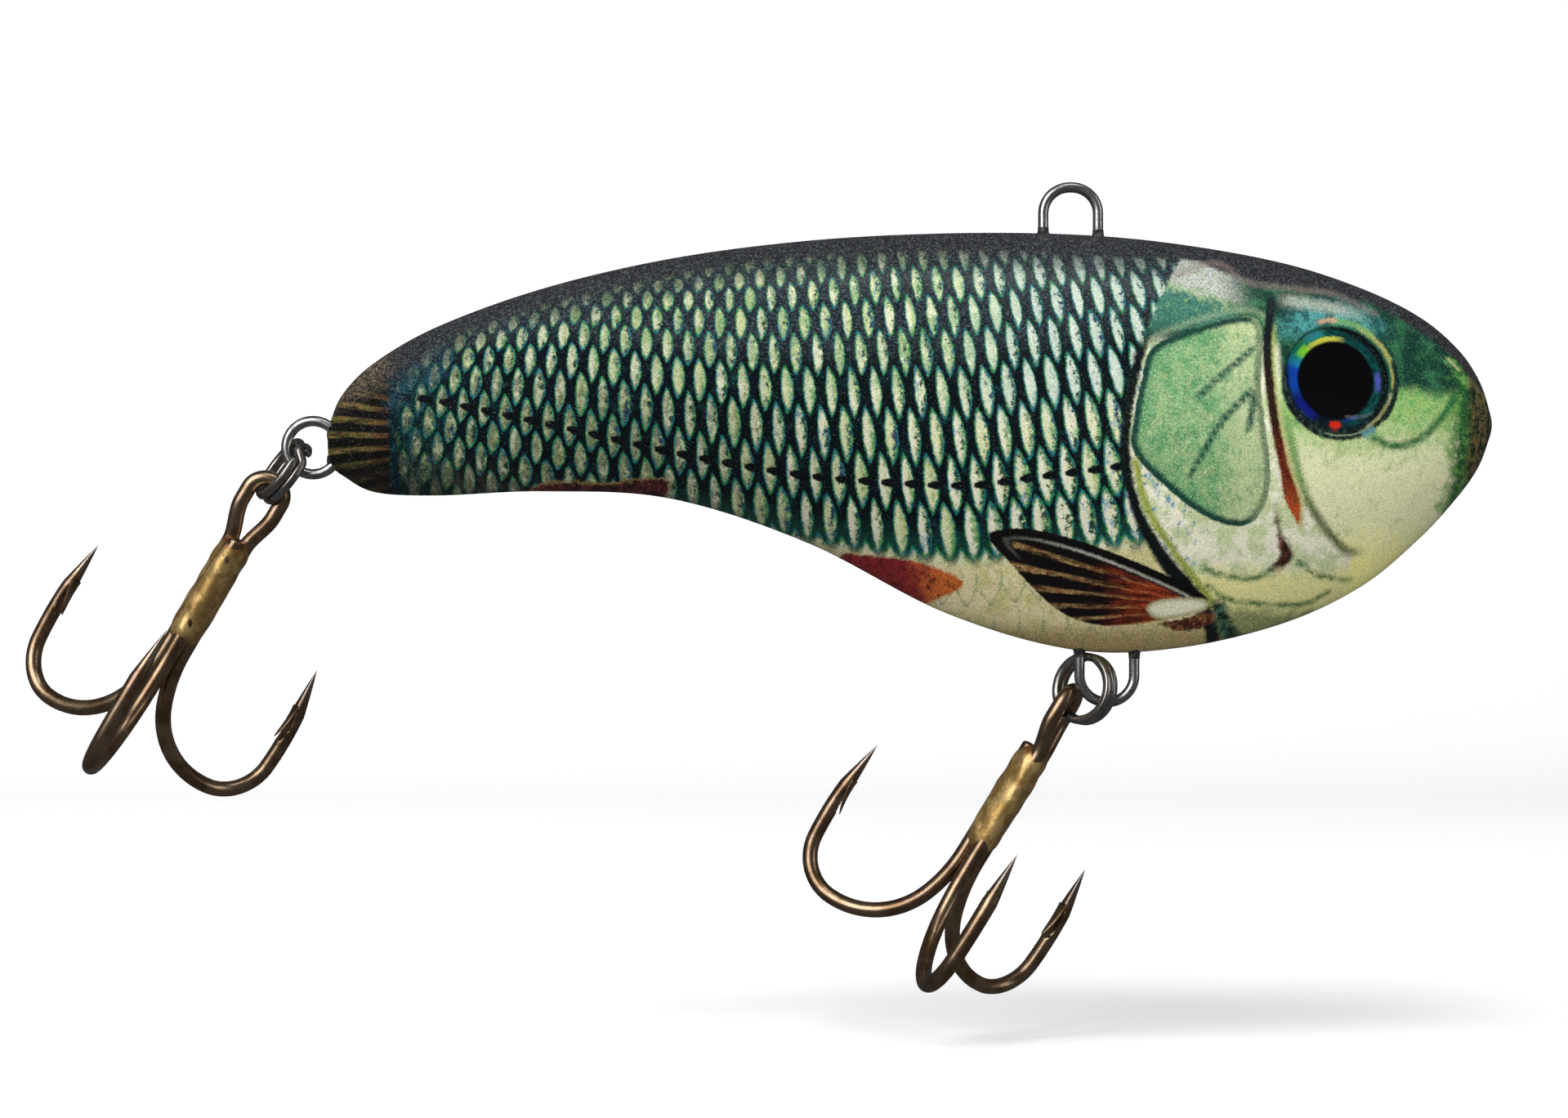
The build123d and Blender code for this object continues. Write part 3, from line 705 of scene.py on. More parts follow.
    # pale nape behind the head, above the gill cover
    nape = x.ramp(16.5, 12.5) * z.ramp(-12.8, -10.4)
    nape_edge = z + (dapple - 0.5) * 4.5 + (x - 12.0) * 0.35
    nape_colour = net.mix(grain.ramp(0.3, 0.7), (0.26, 0.3, 0.24), (0.46, 0.46, 0.43))
    nape_colour = nape_colour.paint(nape_edge.ramp(-7.8, -8.8), (0.2, 0.3, 0.15))
    nape_colour = nape_colour.paint(nape_edge.ramp(-8.6, -9.6), (0.035, 0.14, 0.1))
    nape_colour = nape_colour.paint(dapple.ramp(0.55, 0.64, 0.0, 0.35), (0.2, 0.36, 0.12))
    head = head.paint(nape, nape_colour)

    # gill membrane between cover and opening
    membrane = gill_front.ramp(0.0, 0.6) * cheek_front.ramp(0.0, -0.8)
    pale = net.mix(cloud.ramp(0.42, 0.58), (0.72, 0.7, 0.54), (0.48, 0.54, 0.3))
    pale = pale.paint(dapple.ramp(0.54, 0.64) * x.ramp(14.0, 8.0), (0.1, 0.25, 0.36))
    pale = pale.paint(height.ramp(-33.0, -35.0), (0.7, 0.67, 0.29))
    # painted shade: darker olive along the bottom edge, as on the cheeks
    pale = pale.paint((z + (cloud - 0.5) * 3.0).ramp(-36.8, -38.6), (0.26, 0.28, 0.11))
    head = head.paint(membrane * z.ramp(-12.0, -14.0), pale)

    # gill cover plate
    plate = net.mix(cloud.ramp(0.38, 0.6), (0.075, 0.25, 0.095), (0.2, 0.36, 0.155))
    plate = plate.paint(dapple.ramp(0.5, 0.62) * 0.7, (0.28, 0.38, 0.16))
    plate = plate.paint(opercle.ramp(2.2, 0.4) * x.ramp(13.0, 9.0, 0.0, 0.6), (0.05, 0.22, 0.09))
    plate = plate.paint(grain.ramp(0.52, 0.66) * 0.5, (0.46, 0.5, 0.34))
    pale_wedge = x.ramp(11.5, 15.0) * dapple.ramp(0.34, 0.52, 0.3, 0.95)
    plate = plate.paint(pale_wedge * 0.75, (0.45, 0.5, 0.27))
    plate_edge = abs(opercle - 0.25 + ragged * 0.5).line(0.34, 0.24)
    plate_edge = plate_edge * x.ramp(16.4, 15.2, 0.6, 1.0)
    top_edge = abs(opercle).line(0.42, 0.3) * (z.ramp(-16.0, -13.5) * x.ramp(12.5, 10.0))
    plate_edge = net.most(plate_edge, top_edge)
    plate = plate.paint(plate_edge * 0.97, (0.004, 0.038, 0.028))
    rough_opercle = opercle + ragged * 0.35
    head = head.paint(rough_opercle.ramp(-0.12, 0.08), plate)
    outer_rim = abs(rough_opercle + 0.65).line(0.28, 0.3) * gill_front.ramp(0.3, 0.8)
    head = head.paint(outer_rim * z.ramp(-24.0, -19.0, 0.05, 0.35), (0.32, 0.42, 0.24))
    ray_ink = (rays + ragged * 0.5).line(0.3, 0.24) * opercle.ramp(0.2, 0.8)
    head = head.paint(ray_ink * 0.97, (0.006, 0.06, 0.038))

    # cheek, throat and jaw lines
    wobble = ragged * 0.6
    cheek_ink = net.mix(z.ramp(-25.0, -29.0), (0.1, 0.24, 0.05), (0.045, 0.075, 0.018))
    cheek_ends = x.ramp(27.8, 24.8) * z.ramp(-19.0, -22.0, 0.3, 1.0)
    cheek_line = (cheek + wobble).line(0.4, 0.4) * cheek_ends
    head = head.paint(cheek_line * 0.9, cheek_ink)
    throat_line = (throat + wobble).line(0.24, 0.3) * cloud.ramp(0.36, 0.52, 0.35, 0.95)
    head = head.paint(throat_line, (0.04, 0.13, 0.03))
    jaw_ink = (jaw + wobble).line(0.34, 0.36)
    head = head.paint(jaw_ink * 0.95, (0.008, 0.11, 0.03))

    # the bar in front of the gill cover, dark above and orange below
    bar_half = 0.42 + z.ramp(-24.0, -27.5) * 0.26
    bar_half = bar_half - z.ramp(-27.0, -30.0) * 0.55
    bar = net.mix(z.ramp(-12.0, -18.0), (0.003, 0.008, 0.01), (0.022, 0.007, 0.004))
    bar = bar.paint((z + ragged * 2.0).ramp(-20.0, -23.5), (0.11, 0.012, 0.004))
    bar = bar.paint((z + ragged * 5.0).ramp(-25.2, -28.3), (0.36, 0.055, 0.01))
    bar = bar.paint(dapple.ramp(0.52, 0.62) * z.ramp(-22.0, -26.0), (0.17, 0.06, 0.012))
    halo_right = (preopercle + ragged * 0.5).line(bar_half + 0.36, 0.24)
    halo_colour = net.mix(z.ramp(-24.0, -17.0), (0.42, 0.36, 0.12), (0.3, 0.34, 0.08))
    halo_right = halo_right * bar_front.ramp(-0.1, 0.1)
    head = head.paint(halo_right * z.ramp(-10.5, -12.5, 0.0, 0.8), halo_colour)
    head = head.paint((preopercle + ragged * 0.4).line(bar_half, 0.18), bar)
    tail_ink = (preopercle_tail + ragged * 0.9).line(z.ramp(-30.0, -32.4, 0.18, 0.58), 0.3)
    tail_ink = tail_ink * (z.ramp(-34.2, -33.2, 0.2, 1.0) * z.ramp(-27.4, -29.4, 0.2, 1.0))
    head = head.paint(tail_ink, net.mix(dapple.ramp(0.45, 0.6), (0.022, 0.012, 0.01),
                                        (0.1, 0.022, 0.01)))

    # printed outline round the eye: dark, broken at the lower right, and yellow at the upper right
    ring = net.mix(dapple.ramp(0.46, 0.64), (0.002, 0.007, 0.008), (0.035, 0.06, 0.04))
    ring = ring.paint(round_eye(50).ramp(0.0, 0.7), (0.008, 0.07, 0.045))
    thick = eye_sin.ramp(0.55, -0.35, 5.15, 5.7)
    eye_rough = eye + ragged * 0.5
    head = head.paint(eye_rough.ramp(thick + 0.18, thick - 0.18), ring)

    def eye_mark(degrees, reach, radius, half, colour, strength, soft=0.16):
        """Paints an arc of the eye's outline, centred on a direction and fading out at its reach."""
        spread = math.cos(math.radians(reach))
        around = (round_eye(degrees) + ragged * 0.02).ramp(spread, 0.6 * spread + 0.4)
        radial = abs(eye_rough - radius).line(half, soft)
        return net.mix(around * radial * strength, head, colour)

    head = eye_mark(28, 42, 5.28, 0.24, (0.30, 0.30, 0.08), 0.85)
    head = eye_mark(72, 26, 5.45, 0.28, (0.16, 0.34, 0.10), 0.75, 0.26)
    head = eye_mark(98, 12, 5.55, 0.22, (0.44, 0.27, 0.17), 0.85, 0.20)
    head = eye_mark(-12, 34, 5.55, 0.26, (0.003, 0.012, 0.012), 0.95)
    head = eye_mark(-38, 26, 5.10, 0.14, (0.30, 0.29, 0.12), 0.85)
    head = eye_mark(-61, 8, 5.60, 0.34, (0.10, 0.25, 0.27), 0.80, 0.20)
    head = eye_mark(-83, 26, 5.25, 0.07, (0.24, 0.34, 0.20), 0.70, 0.08)

    # --- put head and scales together, with the gill opening between them
    skin = net.mix((gill_front + ragged * 1.6).ramp(-0.25, 0.25), scales, head)
    skin = skin.paint((gill_edge + wobble).line(0.34, 0.26), (0.26, 0.3, 0.05))
    gill_half = z.ramp(-27.0, -34.5, 0.46, 0.66)
    gill_line = (gill + wobble).line(gill_half, 0.24) * z.ramp(-11.5, -14.0, 0.0, 1.0)
    skin = skin.paint(gill_line, (0.003, 0.006, 0.006))
    foot_colour = net.mix(dapple.ramp(0.44, 0.6), (0.006, 0.022, 0.014), (0.05, 0.13, 0.075))
    skin = skin.paint((gill_foot + ragged * 1.2).line(0.75, 0.45), foot_colour)

    # --- fins
    lobe_colour = net.mix(dapple.ramp(0.42, 0.6), (0.05, 0.012, 0.006), (0.2, 0.08, 0.03))
    skin = skin.paint((lobe + ragged * 0.8).ramp(-0.15, 0.15), lobe_colour)
    fibres = net.noise(net.join(ray_angle * 26.0, ray_run * 0.3, 0.0), 1.0, 4, 0.75)
    fin_red = net.mix(fibres.ramp(0.38, 0.62), (0.07, 0.006, 0.003), (0.36, 0.045, 0.009))
    redness = (ray_run + (cloud - 0.5) * 9.0).ramp(13.0, 5.0)
    fin_dark = net.mix(redness, (0.0045, 0.003, 0.003), fin_red)
    ray_wave = net.math("SINE", ray_angle * 70.0 + (fibres - 0.5) * 2.2)
    ray_pale = net.mix(dapple.ramp(0.4, 0.62), (0.36, 0.24, 0.085), (0.21, 0.085, 0.032))
    ray_colour = net.mix(redness, ray_pale, (0.34, 0.055, 0.012))
    ray_share = ray_wave.ramp(0.1, 0.95) * fibres.ramp(0.34, 0.62)
    fin = net.mix(ray_share, fin_dark, ray_colour)
    fin_edge = pectoral + ragged * 0.3
    upper = ray_angle.ramp(0.225, 0.275)
    pale_line = abs(fin_edge - 0.88).line(0.1, 0.16) * (upper * ray_run.ramp(21.0, 13.0, 0.15, 0.9))
    fin = fin.paint(fin_edge.ramp(1.35, 1.05) * upper, (0.004, 0.003, 0.003))
    fin = fin.paint(pale_line, (0.4, 0.4, 0.33))
    skin = skin.paint(fin_edge.ramp(-0.1, 0.1), fin)
    skin = skin.paint((base + ragged * 0.3).ramp(-0.15, 0.15), net.mix(base.ramp(0.0, 0.6),
                                                                       (0.36, 0.34, 0.18),
                                                                       (0.72, 0.69, 0.5)))
    pelvic_x = x + (cloud - 0.5) * 6.0
    pelvic_colour = net.mix(pelvic_x.ramp(-15.8, -12.6), (0.21, 0.014, 0.015), (0.5, 0.115, 0.022))
    pelvic_colour = pelvic_colour.paint(dapple.ramp(0.52, 0.66, 0.0, 0.8), (0.055, 0.006, 0.008))
    skin = skin.paint((pelvic + ragged * 0.9).ramp(-0.2, 0.2), pelvic_colour)
    anal_colour = net.mix(dapple.ramp(0.44, 0.62), (0.022, 0.005, 0.005), (0.095, 0.02, 0.018))
    anal_rough = anal + ragged * 1.3
    anal_colour = anal_colour.paint(anal_rough.ramp(0.3, 0.05) * 0.7, (0.26, 0.2, 0.07))
    skin = skin.paint(anal_rough.ramp(-0.18, 0.12), anal_colour)

    # tail fin: rays that fan out behind a dark blue-green band
    fan = (z + 21.5) / (16.0 + tail * -1.0)
    tail_fibres = net.noise(net.join(fan * 40.0, tail * 0.35, 0.0), 1.0, 4, 0.75)
    fan_wave = net.math("SINE", fan * 88.0 + (tail_fibres - 0.5) * 2.4)
    ray_tail = net.mix(dapple.ramp(0.44, 0.6), (0.16, 0.105, 0.028), (0.075, 0.085, 0.025))
    ray_tail = ray_tail.paint((tail + ragged * 1.5).ramp(-2.4, -0.6), (0.085, 0.042, 0.014))
    rays_tail = net.mix(fan_wave.ramp(-0.15, 0.85) * tail_fibres.ramp(0.34, 0.6),
                        (0.005, 0.0045, 0.004), ray_tail)
    rays_tail = rays_tail.paint(z.ramp(-22.6, -25.0, 0.0, 0.75), (0.008, 0.007, 0.006))
    band = net.mix(dapple.ramp(0.5, 0.62), (0.001, 0.009, 0.012), (0.003, 0.036, 0.05))
    band = band.paint(dapple.ramp(0.62, 0.7) * z.ramp(-19.0, -17.0), (0.01, 0.09, 0.24))
    skin = skin.paint((tail + ragged * 1.8).ramp(1.5, 0.5), band)
    skin = skin.paint((tail + ragged * 0.4).ramp(0.15, -0.15), rays_tail)
    # painted sheen: a blue highlight patch laid on the top of the back around the tail band
    painted_tail_sheen = (back + ragged * 1.5).ramp(-4.0, -2.6) * (x.ramp(-65.5, -63.8) * x.ramp(-57.5, -60.0))
    skin = skin.paint(painted_tail_sheen * grain.ramp(0.44, 0.64, 0.0, 0.55), (0.035, 0.08, 0.13))

    # --- the dark back
    back_rough = back + ragged * 1.0
    back_colour = net.mix(grain.ramp(0.42, 0.7), (0.012, 0.013, 0.015), (0.058, 0.061, 0.066))
    tail_back = net.mix(grain.ramp(0.42, 0.64), (0.022, 0.02, 0.018), (0.14, 0.105, 0.07))
    back_colour = back_colour.paint((tail + ragged * 2.0).ramp(1.0, -1.5), tail_back)
    fade = back_rough.ramp(-2.0, 0.2) * x.ramp(12.0, 6.0, 0.0, 0.6)
    skin = skin.paint(fade, back_colour)
    skin = skin.paint(back_rough.ramp(-0.25, 0.45), back_colour)
    stripe_ink = (stripe + ragged * 0.7).line(0.3, 0.36)
    skin = skin.paint(stripe_ink * 0.62, (0.17, 0.125, 0.12))

    # fine glitter under the lacquer
    bright = net.math("MULTIPLY", net.split(skin)[1], 1.6, clamp=True)
    sparkle = glitter.ramp(0.34, 0.68, 0.48 + bright * 0.32, 1.55 - bright * 0.36)
    skin = net.mix(1.0, skin, net.join(sparkle, sparkle, sparkle), "MULTIPLY")
    flash = glitter.ramp(0.66, 0.74) * 0.22
    skin = skin.paint(flash * z.ramp(-36.0, -22.0), (0.4, 0.5, 0.42))

    net.bump(net.noise(mm, 5.2, 2), 0.05, 0.08)
    return net.finish(Base_Color=skin, Metallic=0.0, Roughness=glitter.ramp(0.3, 0.7, 0.5, 0.36),
                      IOR=1.42, Specular_IOR_Level=0.4, Coat_Weight=0.25, Coat_Roughness=0.2,
                      Coat_IOR=1.45)


# ------------------------------------------------------------------ shells
hull_line = resample(spline(HULL, 24), HULL_ROWS)
inner_line = hull_line[(hull_line[:, 0] > HOLLOW[0]) & (hull_line[:, 0] < HOLLOW[1])][::8]


def section(station, count, inset=0.0):
    """Half of a cross-section from the back to the belly, as (half thickness, z)."""
    _, back, belly, half = station
    back, belly, half = back - inset, belly + inset, half - inset
    widest = back - WIDEST * (back - belly)
    turn = np.linspace(0, math.pi, count)
    lift = np.cos(turn)
    z = np.where(lift > 0, widest + (back - widest) * lift, widest + (widest - belly) * lift)
    power = np.where(lift > 0, BACK_POWER, BELLY_POWER)
    return half * np.clip(np.sin(turn), 0, 1) ** power, z


def hull_half_at(x, z):
    """Half thickness of the hull at points of its side view."""
    back, belly, half = (np.interp(x, hull_line[:, 0], hull_line[:, k]) for k in (1, 2, 3))
    widest = back - WIDEST * (back - belly)
    lift = np.where(z > widest, (z - widest) / (back - widest), (z - widest) / (widest - belly))
    power = np.where(z > widest, BACK_POWER, BELLY_POWER)
    return half * np.sqrt(np.clip(1 - lift**2, 0, 1)) ** power


def eye_axes(side):
    """Origin, two directions in the face and the outward direction of an eye's seat."""
    yaw, pitch = math.radians(EYE_YAW), math.radians(EYE_PITCH)
    out = np.array([math.sin(yaw), side * math.cos(yaw) * math.cos(pitch), math.cos(yaw) * math.sin(pitch)])
    forward = unit(np.array([1.0, 0, 0]) - out * out[0])
    up = unit(np.array([0, 0, 1.0]) - out * out[2] - forward * forward[2])
    return np.array([EYE_AT[0], side * EYE_FACE_Y, EYE_AT[1]]), forward, up, out


def half_shell(name, side, material, node):
    """One half of the body: outer skin with its eye socket, hollow inside, closed at Y = 0."""
    verts, faces = [], []

    def grid(line, columns, inset, flip):
        base = len(verts)
        for station in line:
            half, z = section(station, columns, inset)
            verts.extend((station[0], side * h, height) for h, height in zip(half, z))
        for i in range(len(line) - 1):
            for j in range(columns - 1):
                a = base + i * columns + j
                face = (a, a + 1, a + columns + 1, a + columns)
                faces.append(face[::-1] if flip else face)
        top = [base + i * columns for i in range(len(line))]
        bottom = [base + i * columns + columns - 1 for i in range(len(line))]
        first = list(range(base, base + columns))
        last = [base + (len(line) - 1) * columns + j for j in range(columns)]
        return top, bottom, first, last

    top, bottom, first, last = grid(hull_line, HULL_COLUMNS, 0.0, side > 0)
    for end, x in zip((first, last), HULL_TIPS):
        tip = len(verts)
        middle = verts[end[len(end) // 2]]
        verts.append((x, 0.0, middle[2]))
        faces.extend((end[j], end[j + 1], tip) for j in range(len(end) - 1))
    grid(inner_line, INNER_COLUMNS, WALL, side < 0)
    inner_start = len(verts) - len(inner_line) * INNER_COLUMNS
    for row, flip in ((0, False), (len(inner_line) - 1, True)):
        ring = [inner_start + row * INNER_COLUMNS + j for j in range(INNER_COLUMNS)]
        faces.append(tuple(ring[::-1]) if flip else tuple(ring))

    work = bmesh.new()
    made = [work.verts.new(v) for v in verts]
    for face in faces:
        work.faces.new([made[i] for i in face])

    # the eye's socket; the search also meets a few faces of the hollow behind it, so the walk
    # starts on the skin's rim, which lies farthest out, and goes round it once
    origin, forward, up, out = eye_axes(side)
    doomed = []
    for face in work.faces:
        near = [np.array(v.co) - origin for v in face.verts]
        reach = min(math.hypot(n @ forward, n @ up) for n in near)
        if reach < SOCKET_R and min(n @ out for n in near) > -SOCKET_SEARCH:
            doomed.append(face)
    inside = set(doomed)
    rim_edges = [e for face in doomed for e in face.edges if sum(f in inside for f in e.link_faces) == 1]
    bmesh.ops.delete(work, geom=doomed, context="FACES")
    loop = [max((v for e in rim_edges for v in e.verts), key=lambda v: abs(v.co.y))]
    while len(loop) < 2 or loop[-1] != loop[0]:
        steps = [e.other_vert(loop[-1]) for e in loop[-1].link_edges if e in rim_edges]
        loop.append(next(v for v in steps if len(loop) < 2 or v != loop[-2]))
    loop.pop()
    offsets = [np.array(v.co) - origin for v in loop]
    angles = np.unwrap([math.atan2(n @ up, n @ forward) for n in offsets])
    whole = 2 * math.pi * np.sign(angles[-1] - angles[0])
    for _ in range(10):
        ahead, behind = (np.append(angles[1:], angles[0] + whole),
                         np.insert(angles[:-1], 0, angles[-1] - whole))
        angles = (angles + ahead + behind) / 3
    for vert, angle, n in zip(loop, angles, offsets):
        depth = n @ out
        for _ in range(6):
            p = origin + SOCKET_R * (math.cos(angle) * forward + math.sin(angle) * up) + depth * out
            depth += (hull_half_at(p[0], p[2]) - abs(p[1])) / abs(out[1])
        vert.co = p
    previous = loop
    for radius, drop in ((SOCKET_R - 0.03, 0.06), (SOCKET_R - 0.06, 0.2), (SOCKET_R - 0.06, None)):
        ring = []
        for vert, angle in zip(loop, angles):
            height = (np.array(vert.co) - origin) @ out
            level = -SOCKET_DEPTH if drop is None else height - drop
            p = origin + radius * (math.cos(angle) * forward + math.sin(angle) * up) + level * out
            ring.append(work.verts.new(p))
        for k in range(len(loop)):
            m = (k + 1) % len(loop)
            work.faces.new((previous[k], previous[m], ring[m], ring[k]))
        previous = ring
    work.faces.new(previous)

    # the flat joint face between the skin and the hollow
    open_edges = [e for e in work.edges if len(e.link_faces) == 1]
    bmesh.ops.triangle_fill(work, edges=open_edges, use_beauty=True)
    bmesh.ops.recalc_face_normals(work, faces=work.faces)
    for edge in work.edges:
        edge.smooth = len(edge.link_faces) == 2 and edge.calc_face_angle(0) < math.radians(40)
    for face in work.faces:
        face.smooth = True
    for vert in work.verts:
        vert.co *= MM
    mesh = bpy.data.meshes.new(name)
    work.to_mesh(mesh)
    work.free()
    mesh.materials.append(material)
    store_print(mesh)
    obj = bpy.data.objects.new(name, mesh)
    bpy.context.scene.collection.objects.link(obj)
    return own(obj, "lure_body", "printed_shell", node)


print_look = printed_material()
for name, side in (("right", -1), ("left", 1)):
    half_shell(f"painted_shell_{name}", side, print_look, f"body_shell_{name}")


# ------------------------------------------------------------------ metal materials
def wire_material(name, bright, dark, roughness):
    """Drawn wire: fine lines, stains and a darker cast in places."""
    net = Net(name)
    mm = net.millimetres()
    stains = net.noise(mm, 0.9, 4, 0.6)
    fine = net.noise(mm, 9.0, 2, 0.7)
    colour = net.mix(stains.ramp(0.34, 0.5), dark, bright)
    colour = colour.paint(fine.ramp(0.6, 0.75, 0.0, 0.2), dark)
    net.bump(fine, 0.04, 0.02)
    return net.finish(Base_Color=colour, Metallic=1.0,
                      Roughness=stains.ramp(0.3, 0.7, roughness + 0.14, roughness))


def hook_material():
    """Bronzed hook wire that goes steel grey at the points."""
    net = Net("bronzed_hook_wire")
    mm = net.millimetres()
    to_point, _, _ = net.attribute("hook")
    stains = net.noise(mm, 0.45, 3, 0.55)
    fine = net.noise(mm, 6.5, 2, 0.7)
    colour = net.mix(stains.ramp(0.36, 0.64), (0.3, 0.185, 0.105), (0.52, 0.37, 0.235))
    colour = colour.paint(fine.ramp(0.6, 0.78, 0.0, 0.35), (0.12, 0.07, 0.045))
    tint = net.noise(mm, 0.8, 2).ramp(0.54, 0.7, 0.0, 0.45)
    colour = colour.paint(tint, (0.52, 0.32, 0.27))
    steel = net.mix(fine.ramp(0.4, 0.7), (0.46, 0.43, 0.4), (0.3, 0.27, 0.25))
    colour = colour.paint((to_point + stains * 3.0).ramp(6.0, 3.0, 0.0, 0.6), steel)
    net.bump(fine, 0.10, 0.04)
    return net.finish(Base_Color=colour, Metallic=1.0, Roughness=fine.ramp(0.3, 0.7, 0.24, 0.34))


def braze_material():
    """Rough brazing alloy: brassy, with bright patches, soot and rust."""
    net = Net("braze_alloy_rough")
    mm = net.millimetres()
    along, _, crease = net.attribute("braze")
    patches = net.noise(mm, 0.6, 4, 0.65)
    fine = net.noise(mm, 4.6, 4, 0.75)
    blobs = net.noise(mm, 1.5, 2, 0.5)
    colour = net.mix(patches.ramp(0.4, 0.6), (0.44, 0.275, 0.09), (0.72, 0.5, 0.205))
    colour = colour.paint(blobs.ramp(0.58, 0.7, 0.0, 0.6), (0.28, 0.16, 0.06))
    colour = colour.paint(fine.ramp(0.62, 0.74, 0.0, 0.7), (0.16, 0.09, 0.04))
    rust = (along + patches * 2.0).ramp(2.6, 1.2, 0.0, 0.85)
    colour = colour.paint(rust, (0.26, 0.085, 0.03))
    colour = colour.paint((crease + (fine - 0.5) * 0.25).line(0.07, 0.07), (0.05, 0.03, 0.016))
    net.bump(blobs + fine * 0.7, 0.45, 0.1)
    return net.finish(Base_Color=colour, Metallic=0.85, Roughness=fine.ramp(0.3, 0.7, 0.28, 0.46))


steel_look = wire_material("drawn_stainless_wire", (0.60, 0.59, 0.58), (0.34, 0.33, 0.32), 0.22)
nickel_look = wire_material("smoky_nickel_ring", (0.46, 0.44, 0.41), (0.28, 0.265, 0.25), 0.22)
hook_look = hook_material()
braze_look = braze_material()


def lacquer_material():
    """Dark lacquer that climbed the wires where they leave the body."""
    net = Net("lacquer_meniscus")
    mm = net.millimetres()
    mottle = net.noise(mm, 2.2, 3, 0.6)
    colour = net.mix(mottle.ramp(0.4, 0.65), (0.01, 0.01, 0.011), (0.065, 0.062, 0.055))
    net.bump(mottle, 0.2, 0.06)
    return net.finish(Base_Color=colour, Roughness=0.28, Coat_Weight=0.6, Coat_Roughness=0.1)


lacquer_look = lacquer_material()


def tube_piece(name, parts, material, body, slot, *nodes):
    """A piece made of one or more tubes."""
    verts, faces = joined(parts)
    obj = mesh_object(name, verts, faces, material)
    sharpen(obj, 40)
    return own(obj, body, slot, *nodes)


# ------------------------------------------------------------------ line tie and hangers
def bent(corners, radii, step=0.12):
    """A path on the XZ plane with round corners."""
    corners = [np.array([x, 0.0, z]) for x, z in corners]
    path = [corners[0]]
    for before, corner, after, radius in zip(corners, corners[1:], corners[2:], radii):
        way_in, way_out = unit(before - corner), unit(after - corner)
        half = math.acos(np.clip(way_in @ way_out, -1, 1)) / 2
        reach = radius / math.tan(half)
        centre = corner + unit(way_in + way_out) * radius / math.sin(half)
        start, stop = corner + way_in * reach - centre, corner + way_out * reach - centre
        sweep = math.acos(np.clip(start @ stop / radius**2, -1, 1))
        for share in np.linspace(0, 1, 17):
            path.append(centre + (start * math.sin((1 - share) * sweep) + stop
                                  * math.sin(share * sweep)) / math.sin(sweep))
    path.append(corners[-1])
    path = np.array(path)
    length = np.linalg.norm(np.diff(path, axis=0), axis=1).sum()
    return resample(path, int(length / step))


tie_path = bent(
    [(-TIE_LEG_X - FOOT, TIE_FOOT_Z), (-TIE_LEG_X, TIE_FOOT_Z), (-TIE_LEG_X, TIE_TOP_Z),
     (TIE_LEG_X, TIE_TOP_Z), (TIE_LEG_X, TIE_FOOT_Z), (TIE_LEG_X + FOOT, TIE_FOOT_Z)],
    [FOOT_BEND_R, TIE_LEG_X * 0.96, TIE_LEG_X * 0.96, FOOT_BEND_R],
)
belly_left, belly_right = BELLY_LOOP[0] - BELLY_LOOP_R, BELLY_LOOP[0] + BELLY_LOOP_R
belly_low = BELLY_LOOP[1] - BELLY_LOOP_R
hanger_path = bent(
    [(belly_left - FOOT, BELLY_FOOT_Z), (belly_left, BELLY_FOOT_Z), (belly_left, belly_low),
     (belly_right, belly_low), (belly_right, BELLY_FOOT_Z), (belly_right + FOOT, BELLY_FOOT_Z)],
    [FOOT_BEND_R, BELLY_LOOP_R * 0.98, BELLY_LOOP_R * 0.98, FOOT_BEND_R],
)
blend_reach = math.sqrt((TAIL_LOOP_R + TAIL_BLEND_R) ** 2 - (TAIL_LEG_OFFSET + TAIL_BLEND_R) ** 2)
blend_angle = math.degrees(math.atan2(TAIL_LEG_OFFSET + TAIL_BLEND_R, blend_reach))
upper_centre = (TAIL_LOOP[0] + blend_reach, TAIL_LOOP[1] + TAIL_LEG_OFFSET + TAIL_BLEND_R)
lower_centre = (TAIL_LOOP[0] + blend_reach, TAIL_LOOP[1] - TAIL_LEG_OFFSET - TAIL_BLEND_R)
tail_path = resample(
    np.vstack([
        [(TAIL_FOOT_X, 0, TAIL_LOOP[1] + TAIL_LEG_OFFSET)],
        arc_points(upper_centre, TAIL_BLEND_R, -90, -180 + blend_angle, 12),
        arc_points(TAIL_LOOP, TAIL_LOOP_R, blend_angle, 360 - blend_angle, 60),
        arc_points(lower_centre, TAIL_BLEND_R, 180 - blend_angle, 90, 12),
        [(TAIL_FOOT_X, 0, TAIL_LOOP[1] - TAIL_LEG_OFFSET)],
    ]),
    260,
)
for name, path, node in (
    ("line_tie_loop", tie_path, "line_tie_wire"),
    ("belly_hanger_loop", hanger_path, "belly_hanger_wire"),
    ("tail_hanger_loop", tail_path, "tail_hanger_wire"),
):
    tube_piece(name, [swept(path, np.full(len(path), WIRE_R), segments=24)], steel_look, "lure_body",
               "stainless_wire", node)


def meniscus(at, way, reach, spread):
    """A collar of lacquer round a wire: sunk at the body, thin where it runs out along the wire."""
    at, way = np.array(at, float), unit(way)
    shares = np.linspace(0, 1, 9)
    points = at + np.outer(-0.8 + (reach + 0.8) * shares, way)
    radii = WIRE_R + 0.03 + spread * (1 - shares) ** 2.6
    return swept(points, radii, side_hint=(0, 1, 0), segments=28)


